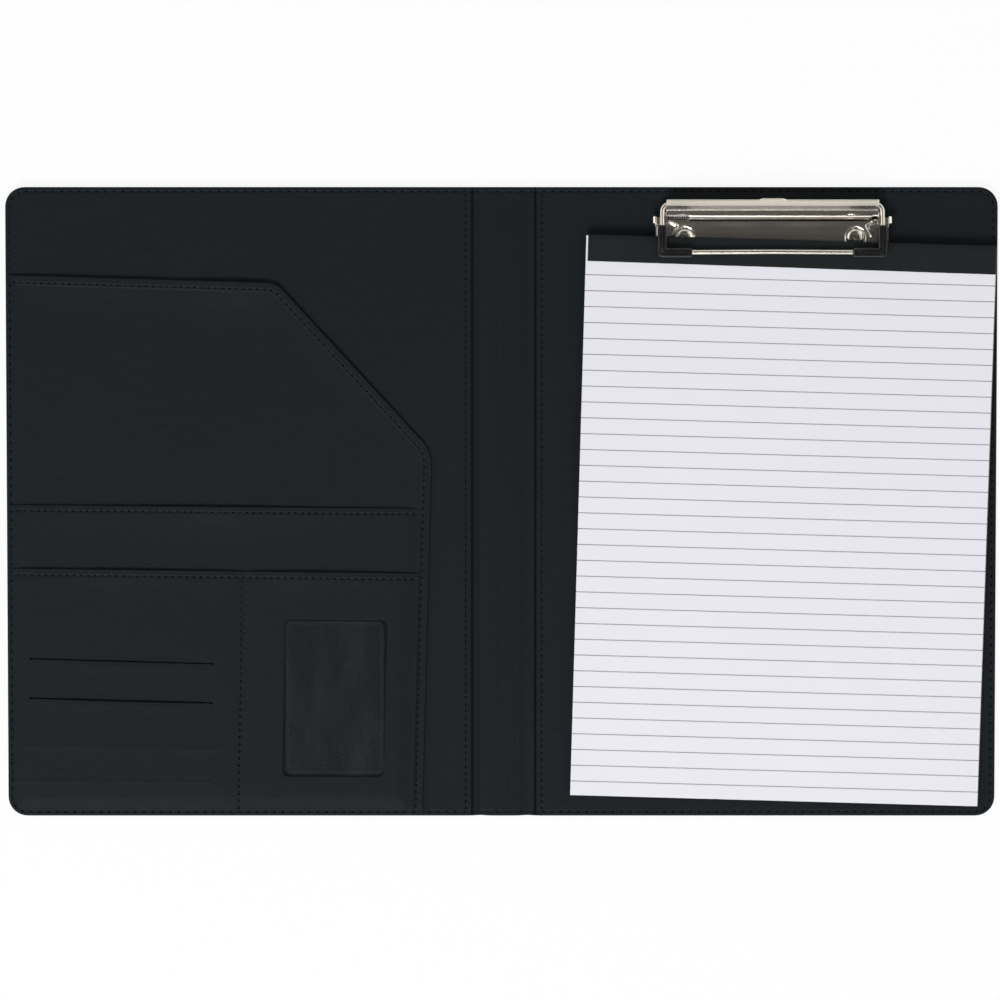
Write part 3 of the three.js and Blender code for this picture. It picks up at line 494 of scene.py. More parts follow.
class Desk:
    """Adds nodes to one material, or to the world."""

    def __init__(self, name: str, world: bool = False) -> None:
        """Makes an empty node material.

        Args:
            name: The material's name.
            world: Whether it is the world around the folder.
        """
        self.material = bpy.data.worlds.new(name) if world else bpy.data.materials.new(name)
        self.material.use_nodes = True
        self.nodes = self.material.node_tree.nodes
        self.links = self.material.node_tree.links
        self.nodes.clear()

    def node(self, kind: str, settings: dict, inputs: dict) -> bpy.types.Node:
        """Adds a node.

        Args:
            kind: The node's type.
            settings: Its properties, set first.
            inputs: Values or taps for its sockets, by name or number.

        Returns:
            The node.
        """
        made = self.nodes.new(kind)
        for key, value in settings.items():
            setattr(made, key, value)
        for key, value in inputs.items():
            if isinstance(value, Tap):
                self.links.new(value.socket, made.inputs[key])
            else:
                made.inputs[key].default_value = value
        return made

    def tap(self, kind: str, settings: dict, inputs: dict, output: int | str = 0) -> Tap:
        """Adds a node and returns one of its outputs."""
        return Tap(self, self.node(kind, settings, inputs).outputs[output])

    def place(
        self, scale: Spot = (1, 1, 1), turn: Spot = (0, 0, 0), space: Space = Space.OBJECT
    ) -> Tap:
        """Returns coordinates in metres, stretched and turned.

        Args:
            scale: Factor along each axis.
            turn: Angles in radians.
            space: Object coordinates or the piece's own resting places.

        Returns:
            The coordinates.
        """
        resting = space is Space.REST
        place = self.noted("rest") if resting else self.tap("ShaderNodeTexCoord", {}, {}, "Object")
        return self.tap("ShaderNodeMapping", {}, {"Vector": place, "Scale": scale, "Rotation": turn})

    def noted(self, name: str) -> Tap:
        """Returns the vectors that note() stored under a name."""
        return self.tap("ShaderNodeAttribute", {"attribute_name": name}, {}, "Vector")

    def rays(self, *kinds: str) -> list[Tap]:
        """Returns for each kind of ray whether the one that is drawn is of it."""
        made = self.node("ShaderNodeLightPath", {}, {})
        return [Tap(self, made.outputs[f"Is {kind} Ray"]) for kind in kinds]

    def parts(self, vector: Tap) -> tuple[Tap, Tap, Tap]:
        """Returns a vector's three numbers."""
        made = self.node("ShaderNodeSeparateXYZ", {}, {0: vector})
        x, y, z = (Tap(self, output) for output in made.outputs)
        return x, y, z

    def noise(self, place: Tap, size: float, detail: float = 3, rough: float = 0.55) -> Tap:
        """Returns noise from 0 to 1 whose blobs have the given size in millimetres."""
        inputs = {"Vector": place, "Scale": 1000 / size, "Detail": detail, "Roughness": rough}
        return self.tap("ShaderNodeTexNoise", {}, inputs)

    def cells(self, place: Tap, size: float, feature: str = "F1") -> Tap:
        """Returns the distance within Voronoi cells of the given size in millimetres."""
        inputs = {"Vector": place, "Scale": 1000 / size}
        return self.tap("ShaderNodeTexVoronoi", {"feature": feature}, inputs, "Distance")

    def blend(self, share: Tap | float, a: "Tap | Colour", b: "Tap | Colour") -> Tap:
        """Returns a colour between a and b."""
        a, b = ((*c, 1.0) if isinstance(c, tuple) else c for c in (a, b))
        return self.tap("ShaderNodeMix", {"data_type": "RGBA"}, {0: share, 6: a, 7: b}, 2)

    def bump(self, height: Tap, depth: float, under: Tap | None = None) -> Tap:
        """Returns a normal bent by a height from 0 to 1 that stands for the depth in millimetres."""
        inputs = {"Height": height, "Distance": depth * MM, "Strength": 1.0}
        if under is not None:
            inputs["Normal"] = under
        return self.tap("ShaderNodeBump", {}, inputs)

    def shade(self, **inputs: "Tap | float | tuple") -> Material:
        """Adds the surface shader and the output.

        Args:
            **inputs: Values for the shader's sockets, with _ for a space.

        Returns:
            The finished material.
        """
        named = {key.replace("_", " "): value for key, value in inputs.items()}
        shader = self.tap("ShaderNodeBsdfPrincipled", {}, named)
        self.node("ShaderNodeOutputMaterial", {}, {"Surface": shader})
        return self.material


def tone(red: int, green: int, blue: int) -> Colour:
    """Returns a linear colour for 8-bit values as a picture shows them."""
    shares = (c / 255 for c in (red, green, blue))
    red, green, blue = (c / 12.92 if c < 0.04 else ((c + 0.055) / 1.055) ** 2.4 for c in shares)
    return red, green, blue


def shaded(colour: Colour, factor: float) -> Colour:
    """Returns the colour made lighter or darker by a factor."""
    return colour[0] * factor, colour[1] * factor, colour[2] * factor


@dataclass(frozen=True)
class Leather:
    """Matt coated cloth with a fine pebble grain, sewn: the cover, its lining and the pockets."""

    name: str = "cover cloth"
    colour: Colour = tone(19, 25, 29)
    grain: float = 0.8
    depth: float = 0.07
    rough: float = 0.56
    space: Space = Space.OBJECT

    @cache
    def material(self) -> Material:
        """Returns the material: grain in the bump, dusty scuffs in the colour, puckers beside the seams."""
        desk = Desk(self.name)
        place = desk.place(space=self.space)
        wrinkled = desk.place((1, 1.7, 1), (0, 0, 0.3), self.space)
        pebbles = desk.cells(place, self.grain, "SMOOTH_F1")
        fine = desk.noise(place, self.grain * 0.45, 2)
        cloudy = desk.noise(place, 60, 4)
        mottled = desk.noise(wrinkled, 7, 4, 0.6)
        dust = desk.noise(place, 1.3, 2).step(0.70, 0.80) * desk.noise(place, 35, 2).step(0.52, 0.72)
        drawn_out = desk.place((0.25, 3.2, 1), (0, 0, 0.5), self.space)
        streaks = desk.noise(drawn_out, 6, 3).step(0.70, 0.82)
        scuffs = dust * 0.35 + streaks * cloudy.step(0.5, 0.7) * 0.28
        grain_dark = pebbles.step(0.0, 0.75)
        base = desk.blend(cloudy * 0.6 + mottled * 0.4, shaded(self.colour, 0.86), shaded(self.colour, 1.16))
        grained = desk.blend(grain_dark * 0.26, base, shaded(self.colour, 0.5))
        colour = desk.blend(scuffs, grained, tone(96, 96, 95))
        along, off, near = desk.parts(desk.noted("seam"))
        waves = (along * (2 * pi)).sine() * 0.5 + 0.5
        pucker = waves * off.bell(0.0, 1.1) * near
        height = (1 - pebbles.step(0.0, 0.9)) * 0.75 + fine * 0.25
        grain = desk.bump(height, self.depth)
        soft = desk.bump(mottled, 0.22, grain)
        normal = desk.bump(pucker, 0.16, soft)
        rough = self.rough + (mottled - 0.5) * 0.14 + pebbles * 0.1
        return desk.shade(Base_Color=colour, Roughness=rough, Normal=normal, Specular_IOR_Level=0.12)


@dataclass(frozen=True)
class Thread:
    """Twisted black sewing thread."""

    name: str = "sewing thread"
    colour: Colour = tone(3, 4, 4)
    twist: float = 0.45
    space: Space = Space.OBJECT

    @cache
    def material(self) -> Material:
        """Returns the material: slanting ply marks in colour and bump."""
        desk = Desk(self.name)
        x, y, _ = desk.parts(desk.place(space=self.space))
        ply = ((x + y) * (2 * pi / (self.twist * MM))).sine() * 0.5 + 0.5
        colour = desk.blend(ply * 0.5, self.colour, shaded(self.colour, 2.4))
        return desk.shade(Base_Color=colour, Roughness=0.9 - ply * 0.1, Normal=desk.bump(ply, 0.05),
                          Specular_IOR_Level=0.03)


@dataclass(frozen=True)
class Weave:
    """Fine plain-woven backing cloth, near black, with a greyer haze."""

    name: str = "backing cloth"
    colour: Colour = tone(11, 17, 20)
    stain: Colour = tone(30, 34, 36)
    pitch: float = 1.4

    @cache
    def material(self) -> Material:
        """Returns the material: a product of two sine waves as threads, in colour and bump, under a haze."""
        desk = Desk(self.name)
        place = desk.place()
        x, y, _ = desk.parts(place)
        rate = 2 * pi / (self.pitch * MM)
        weave = (x * rate).sine() * (y * rate).sine() * 0.5 + 0.5
        streaks = desk.noise(desk.place((2.0, 0.4, 1), (0, 0, -0.2)), 16, 4, 0.6)
        haze = streaks.step(0.5, 0.78) * 0.5
        base = desk.blend(weave, shaded(self.colour, 0.2), shaded(self.colour, 2.4))
        colour = desk.blend(haze, base, self.stain)
        return desk.shade(Base_Color=colour, Roughness=0.82 - weave * 0.1, Normal=desk.bump(weave, 0.1),
                          Specular_IOR_Level=0.15)


@dataclass(frozen=True)
class Film:
    """Clear soft film, hazy from handling, with a painted shade line at the window's edge and a faint painted
    highlight inside it.

    The window's middle and half size say where these painted lines run, and corner is its radius."""

    name: str = "clear film"
    haze: Colour = tone(88, 94, 100)
    middle: Pair = (-85.9, -100.7)
    half: Pair = (26.1, 40.4)
    corner: float = 4.0

    @cache
    def material(self) -> Material:
        """Returns the material: see-through with cloudy smears, a soft waviness, a painted shade line on the
        rim and a painted highlight inside it.

        The rim follows the distance to a rectangle with round corners, made a little uneven."""
        desk = Desk(self.name)
        place = desk.place()
        x, y, _ = desk.parts(place)
        wobble = (desk.noise(place, 12, 2) - 0.5) * 0.8
        beside = [abs(v * 1000.0 - self.middle[k]) - self.half[k] + self.corner for k, v in enumerate((x, y))]
        across, up = (v.maths("MAXIMUM", v, 0.0) for v in beside)
        rim = (across * across + up * up) ** 0.5 - self.corner + wobble
        smears = desk.noise(desk.place((2.2, 0.4, 1), (0, 0, -0.15)), 18, 5, 0.62)
        cloudy = desk.noise(place, 42, 3)
        alpha = 0.01 + smears.step(0.45, 0.85) * 0.035 + cloudy.step(0.5, 0.8) * 0.015
        # painted highlight: a faint pale line 2 mm inside the rim; painted shade: a dark line on the rim
        # itself
        alpha = alpha + rim.bell(-2.0, 0.7) * 0.025 + rim.bell(-0.3, 0.45) * 0.75
        waves = desk.bump(desk.noise(place, 14, 2), 0.1)
        worn = desk.blend(smears, self.haze, tone(107, 112, 114))
        # painted shade: the line on the rim takes a near-black colour
        colour = desk.blend(rim.step(-1.2, -0.8), worn, tone(12, 13, 14))
        rough = 0.16 + smears * 0.2
        return desk.shade(Base_Color=colour, Alpha=alpha, Roughness=rough, Normal=waves, IOR=1.45)


@dataclass(frozen=True)
class Nickel:
    """Bright nickel-plated steel with a drawn sheen, fine scratches and a cloudy tarnish.

    Satin is what the roughness grows by behind a line across the lever's flange, between the two places
    along Y in satin_line."""

    name: str = "nickel plate"
    colour: Colour = tone(214, 207, 196)
    rough: float = 0.17
    grain: Spot = (0.05, 1.0, 1.0)
    tarnish: float = 0.3
    satin: float = 0.0
    satin_line: Pair = (152.1, 152.8)

    @cache
    def material(self) -> Material:
        """Returns the material: drawn lines, scratches, spots and a dull film that varies."""
        desk = Desk(self.name)
        place = desk.place()
        drawn = desk.noise(desk.place(self.grain), 0.35, 2)
        scratches = desk.noise(desk.place((0.04, 1, 1), (0, 0, 0.4)), 0.5, 2).step(0.68, 0.74)
        spots = desk.noise(place, 0.9, 3).step(0.66, 0.8)
        cloudy = desk.noise(place, 9, 4)
        dull = (spots * 0.2 + cloudy.step(0.45, 0.75) * 0.4) * self.tarnish
        colour = desk.blend(dull, self.colour, tone(128, 118, 104))
        _, y, _ = desk.parts(place)
        brushed = y.step(self.satin_line[0] * MM, self.satin_line[1] * MM) * self.satin
        rough = self.rough + drawn * 0.02 + scratches * 0.03 + cloudy * 0.06 + brushed
        normal = desk.bump(drawn + scratches * 0.6, 0.0006)
        return desk.shade(Base_Color=colour, Metallic=1.0, Roughness=rough, Normal=normal)


@dataclass(frozen=True)
class Moulded:
    """Black moulded plastic with a faint shine."""

    name: str = "moulded tip"
    colour: Colour = tone(20, 20, 22)

    @cache
    def material(self) -> Material:
        """Returns the material: even black with a slight orange-peel and dull rubbed spots."""
        desk = Desk(self.name)
        place = desk.place()
        peel = desk.noise(place, 0.5, 2)
        rubbed = desk.noise(place, 2.6, 4).step(0.5, 0.75)
        colour = desk.blend(rubbed * 0.3, self.colour, tone(52, 52, 54))
        return desk.shade(Base_Color=colour, Roughness=0.3 + rubbed * 0.22, Normal=desk.bump(peel, 0.02))


@dataclass(frozen=True)
class Ruled:
    """White writing paper with ruled lines across and, below its face, painted shade between the block's
    sheets.
    """

    name: str = "ruled paper"
    colour: Colour = tone(236, 235, 243)
    line: Colour = tone(112, 108, 122)
    pitch: float = 8.15
    first: float = 121.4
    rules: int = 33
    thick: float = 0.46
    face: float = 0.0
    sheets: float = 0.12

    @cache
    def material(self) -> Material:
        """Returns the material: a line at each pitch from the first to the last, faint fibres and, where the
        pad's own height is under the face, sine waves of painted shade between the sheets."""
        desk = Desk(self.name)
        page = desk.noted("page")
        _, y, z = desk.parts(page)
        below = (self.first - y * 1000.0) / self.pitch
        off = (below + 0.5).fraction() - 0.5
        near = 1 - (abs(off) * self.pitch).step(self.thick * 0.25, self.thick * 0.75)
        within = below.step(-0.4, -0.3) * (1 - below.step(self.rules - 0.7, self.rules - 0.6))
        print_spots = desk.noise(page, 0.9, 2)
        top = z.step(self.face * MM - 0.0001, self.face * MM)
        ink = near * within * (0.7 + print_spots * 0.3) * top
        fibres = desk.noise(page, 0.25, 3)
        shade = desk.noise(page, 60, 3)
        base = desk.blend(fibres * 0.5 + shade * 0.5, shaded(self.colour, 0.97), shaded(self.colour, 1.02))
        wobble = desk.noise(page, 30, 2) * 9
        # painted shade: darker sine bands between the sheets on the block's sides
        stack = ((z * (2 * pi / (self.sheets * MM)) + wobble).sine() * 0.5 + 0.5) * (1 - top)
        sheet_gap_shaded = desk.blend(stack * 0.45, base, shaded(self.colour, 0.6))
        colour = desk.blend(ink, sheet_gap_shaded, self.line)
        return desk.shade(Base_Color=colour, Roughness=0.74 + fibres * 0.1, Normal=desk.bump(fibres, 0.02),
                          Specular_IOR_Level=0.3)


@dataclass(frozen=True)
class Tape:
    """Black grained binding tape, its pale core showing in nicks."""

    name: str = "binding tape"
    colour: Colour = tone(27, 32, 33)

    @cache
    def material(self) -> Material:
        """Returns the material: crossed grain in the bump and pale specks where the coat is gone."""
        desk = Desk(self.name)
        place = desk.place()
        grain = desk.cells(desk.place((1, 1.4, 1)), 0.62, "F1")
        cloudy = desk.noise(place, 14, 3)
        specks = desk.noise(place, 0.8, 2).step(0.76, 0.8) * desk.noise(place, 22, 1).step(0.5, 0.6)
        base = desk.blend(cloudy, shaded(self.colour, 0.82), shaded(self.colour, 1.2))
        grained = desk.blend(grain.step(0.1, 0.6) * 0.35, base, shaded(self.colour, 0.4))
        colour = desk.blend(specks * 0.6, grained, tone(150, 146, 140))
        rough = 0.52 + cloudy * 0.12
        return desk.shade(Base_Color=colour, Roughness=rough, Normal=desk.bump(1 - grain, 0.06),
                          Specular_IOR_Level=0.14)


@dataclass(frozen=True)
class Fibre:
    """Pressed or foamed stuff with flecks: grey-brown card, board and wadding."""

    name: str = "backing card"
    colour: Colour = tone(140, 118, 100)
    fleck: Colour = tone(96, 78, 64)
    size: float = 0.7
    depth: float = 0.05

    @cache
    def material(self) -> Material:
        """Returns the material: fine flecks over a cloudy ground."""
        desk = Desk(self.name)
        place = desk.place()
        flecks = desk.noise(place, self.size, 3).step(0.52, 0.7)
        cloudy = desk.noise(place, 24, 3)
        base = desk.blend(cloudy, shaded(self.colour, 0.9), shaded(self.colour, 1.1))
        colour = desk.blend(flecks * 0.5, base, self.fleck)
        normal = desk.bump(flecks, self.depth)
        return desk.shade(Base_Color=colour, Roughness=0.86 + cloudy * 0.08, Normal=normal)


BLENDED_COVER = Leather("cover cloth at the folds", space=Space.REST)
LINING = Leather("lining cloth", depth=0.06)
STRIP = Leather("spine cloth", tone(18, 24, 28), 0.72, 0.06, space=Space.REST)
POCKET = Leather("pocket cloth", tone(20, 26, 30), 0.72, 0.06)
THREAD = Thread()
BLENDED_THREAD = Thread("sewing thread at the folds", space=Space.REST)
NICKEL = Nickel()
# painted highlight: the lever's nickel is lighter than the plate's so that its flange shows bright
LEVER_PAINTED_HIGHLIGHT_NICKEL = Nickel("nickel, satin on the flange", tone(240, 232, 220), tarnish=0.12, satin=0.24)
BRIGHT = Nickel("bright rivet", rough=0.12, grain=(1, 1, 1), tarnish=0.35)
STEEL = Nickel("bright steel wire", tone(178, 177, 176), 0.24, (1, 1, 1), 0.3)
TIP = Moulded()
CARD = Fibre()
BOARD = Fibre("pressed board", tone(150, 142, 128), tone(110, 100, 88), 1.1, 0.08)
WADDING = Fibre("wadding", tone(150, 150, 146), tone(116, 116, 112), 0.9, 0.2)

Finish = Leather | Thread | Weave | Film | Nickel | Moulded | Ruled | Tape | Fibre


def make(name: str, surface: Surface, finish: Finish) -> Piece:
    """Makes a piece at the origin, its place in its mesh, smooth but for edges sharper than CREASE.

    Args:
        name: The piece's name.
        surface: Its shape in millimetres.
        finish: Its finish.

    Returns:
        The object.
    """
    mesh = bpy.data.meshes.new(name)
    mesh.from_pydata((surface.points * MM).tolist(), [], surface.faces)
    mesh.update()
    mesh.polygons.foreach_set("use_smooth", np.ones(len(mesh.polygons), bool))
    mesh.set_sharp_from_angle(angle=CREASE)
    mesh.materials.append(finish.material())
    piece = bpy.data.objects.new(name, mesh)
    bpy.context.scene.collection.objects.link(piece)
    note(piece, "rest", surface.points * MM)
    log.info("%s: %d vertices, %d faces", name, len(mesh.vertices), len(mesh.polygons))
    return piece


def note(piece: Piece, name: str, values: Array) -> None:
    """Stores one vector for each vertex of a piece under a name that its finish reads."""
    attribute = piece.data.attributes.new(name, "FLOAT_VECTOR", "POINT")
    attribute.data.foreach_set("vector", np.ascontiguousarray(values, np.float32).ravel())


def dress(node: str, finish: Finish) -> None:
    """Gives a CAD node that stays a finish.

    Args:
        node: The node's name.
        finish: Its finish.
    """
    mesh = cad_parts[node].data
    mesh.materials.clear()
    mesh.materials.append(finish.material())
    log.info("%s: kept, %s", node, finish.name)


# The folder


def sheet(
    piece: Piece, flat: Pair, held: str, rests_on: Sequence[str], area: float
) -> None:
    """Takes a sewn sheet's data and does nothing with it.

    Args:
        piece: The sheet; not used.
        flat: Width and length it was cut to, in millimetres; not used.
        held: How it is held; not used.
        rests_on: What it lies on; not used.
        area: Area of the cut in square millimetres; not used.
    """


def face_area(grid: Array, keep: Array | None = None) -> float:
    """Returns the area of a grid's cells: half the length of each cell's crossed diagonals."""
    across, back = grid[1:, 1:] - grid[:-1, :-1], grid[:-1, 1:] - grid[1:, :-1]
    cells = 0.5 * np.linalg.norm(np.cross(across, back), axis=-1)
    return float(cells.sum() if keep is None else cells[keep].sum())


def stacked(x: Array, y: Array, z: Array | float) -> Array:
    """Returns a grid of places from three arrays."""
    return np.stack([x, y, np.broadcast_to(z, x.shape)], -1)


def edge_drop(inset: Array, r: float) -> Array:
    """Returns how far a rounded edge lies under its face: r - sqrt(r^2 - (r - inset)^2)."""
    reach = np.clip(r - inset, 0, r)
    return r - np.sqrt(r * r - reach * reach)


def beside_seams(rows: Sequence[Grid]) -> Array:
    """The nearest seam for each place. The cloth puckers beside one seam, not where two rows meet.

    Args:
        rows: For each seam the stitches along it and the distance off it in millimetres.

    Returns:
        (stitches along, millimetres off, 1 beside one seam alone or 0) for each place.
    """
    along, off = (np.stack([row[k] for row in rows]) for k in (0, 1))
    pick = np.abs(off).argmin(0)[None]
    nearest = [np.take_along_axis(values, pick, 0)[0] for values in (along, off)]
    reach = 1.7
    alone = np.sort(np.abs(off), 0)[1] > 2 * reach
    return np.stack([*nearest, 1.0 * ((np.abs(nearest[1]) < reach) & alone)], -1)


@dataclass(frozen=True)
class Half:
    """One half of the open folder: the back panel's on the right, the front panel's on the left."""

    side: int
    name: str
    body: str
    fold: float
    lining: float

    @property
    def split(self) -> float:
        """Returns the middle of the spine, measured outwards."""
        return self.side * SPINE_MIDDLE

    def columns(self, lines: Array) -> Array:
        """Returns outward distances as rising X values."""
        return np.sort(self.side * lines)

    def bend(self, piece: Piece) -> None:
        """Bakes a piece's transform into its mesh."""
        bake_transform(piece)


BACK = Half(1, "back", "back_panel", BACK_FOLD, BACK_LINING)
FRONT = Half(-1, "front", "front_panel", -FRONT_FOLD, -FRONT_LINING)


@dataclass
class Cover:
    """Outer cover: one bowl-shaped half on each side of the spine's middle, with its seam and wadding."""

    skin: float = 0.8
    wall: float = 3.6
    edge: float = 0.8
    seam: float = 2.3
    groove: float = 0.3
    fold_wall: float = 1.3
    wadding_reach: Pair = (253.4, 160.9)
    wadding_gap: float = 4.9
    wadding_corner: float = 8.9
    wadding_spine: Pair = (-6.1, 8.6)
    wadding_faces: Pair = (0.86, 1.96)

    def wall_top(self, out: Array, half: Half) -> Array:
        """Returns the wall's height: lower at the fold, by a bell."""
        return self.wall - (self.wall - self.fold_wall) * bump(out, half.fold, 3.2)

    def half(self, half: Half) -> Piece:
        """Builds one half.

        The underside rises by a quarter circle at the edge and by a groove along the seam. The inside
        is a floor at the skin's height with an upright wall whose lip is rounded.

        Args:
            half: Which half.

        Returns:
            The piece.
        """
        near = np.linspace(half.split, half.lining + 3, 34)
        outer = edge_lines(half.lining + 3, HALF_WIDTH, 9)
        outer = outer[outer >= half.lining + 13]
        between = np.linspace(near[-1], outer[0], 4)[1:-1]
        x = half.columns(np.concatenate([near, between, outer]))
        u, v = net(x, edge_lines(-HALF_HEIGHT, HALF_HEIGHT, 9))
        out = half.side * u
        inset = np.minimum(HALF_WIDTH - out, HALF_HEIGHT - np.abs(v))
        x, y = round_corners(u, v, [(half.side * HALF_WIDTH, half.side)], both_ways(HALF_HEIGHT), CORNER)
        high = self.wall_top(out, half) - edge_drop(inset, 0.32)
        top = np.where(inset < 0.9, high, self.skin)
        soft = 0.05 * (1 + ripple(x, y, 60, 3)) * smooth(inset, 4, 14)
        low = edge_drop(inset, self.edge) + self.groove * bump(inset, self.seam, 0.5) + soft
        low = low + 0.2 * bump(out, half.fold, 1.3) + 0.1 * bump(out, half.split, 0.8)
        low = np.minimum(low, top - 0.25)
        upper, lower = stacked(x, y, top), stacked(x, y, low)
        surface = grid_solid(upper, lower)
        piece = make(f"cover_{half.name}", surface, BLENDED_COVER)
        flat = surface.points
        gap = np.minimum(HALF_WIDTH - np.abs(flat[:, 0]), HALF_HEIGHT - np.abs(flat[:, 1])) - self.seam
        upright = HALF_WIDTH - np.abs(flat[:, 0]) < HALF_HEIGHT - np.abs(flat[:, 1])
        under = flat[:, 2] < 0.7
        seams = np.stack([np.where(upright, flat[:, 1], flat[:, 0]) / EDGE_STITCH, gap, under * 1.0], -1)
        note(piece, "seam", seams)
        half.bend(piece)
        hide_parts(f"cover_skin_{half.name}", "cover_skin_spine")
        return piece

    def under_seam(self, half: Half) -> None:
        """Builds the seam on the underside: the upper side's row, turned over about the X axis.

        Args:
            half: Which half.
        """
        edge = HALF_HEIGHT - self.seam
        far = half.side * (HALF_WIDTH - self.seam)
        r = CORNER - self.seam
        near = half.side * half.split
        path = route([(near, -edge, 0.25), (far, -edge, 0.25, r), (far, edge, 0.25, r), (near, edge, 0.25)])
        row = stitches(path, EDGE_STITCH, thick=0.19).moved(np.diag([1.0, -1, -1]), (0, 0, 0.45))
        piece = make(f"under_seam_{half.name}", row, BLENDED_THREAD)
        half.bend(piece)

    def wadding(self) -> None:
        """Builds the three sheets of wadding: flat fillings with soft edges, a little uneven on top."""
        far, end = self.wadding_reach
        low, high = self.wadding_faces
        plans = [
            ("foam_back", BACK_FOLD + self.wadding_gap, far, "back_panel", [(far, 1)]),
            ("foam_front", -far, FRONT_FOLD - self.wadding_gap, "front_panel", [(-far, -1)]),
            ("foam_spine", *self.wadding_spine, "spine", []),
        ]
        for node, left, right, body, round_sides in plans:
            fine = (0, 0.3, 0.8, 1.6, 3.0)
            u, v = net(edge_lines(left, right, 9, fine), edge_lines(-end, end, 9, fine))
            inset = np.minimum(np.minimum(u - left, right - u), end - np.abs(v))
            x, y = round_corners(u, v, round_sides, both_ways(end), self.wadding_corner)
            drop = edge_drop(inset, 0.5)
            top = high - drop * 0.9 - 0.05 * (1 + ripple(x, y, 25, 8)) * smooth(inset, 2, 6)
            surface = grid_solid(stacked(x, y, top), stacked(x, y, low + drop * 0.9))
            piece = make(f"{node}_soft", surface, WADDING)
            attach(piece, body)
            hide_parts(node)

    def build(self) -> None:
        """Builds the cover, its under seams and its wadding, and dresses the boards."""
        for half in (BACK, FRONT):
            self.half(half)
            self.under_seam(half)
            dress(f"board_{half.name}", BOARD)
        dress("board_spine", BOARD)
        self.wadding()


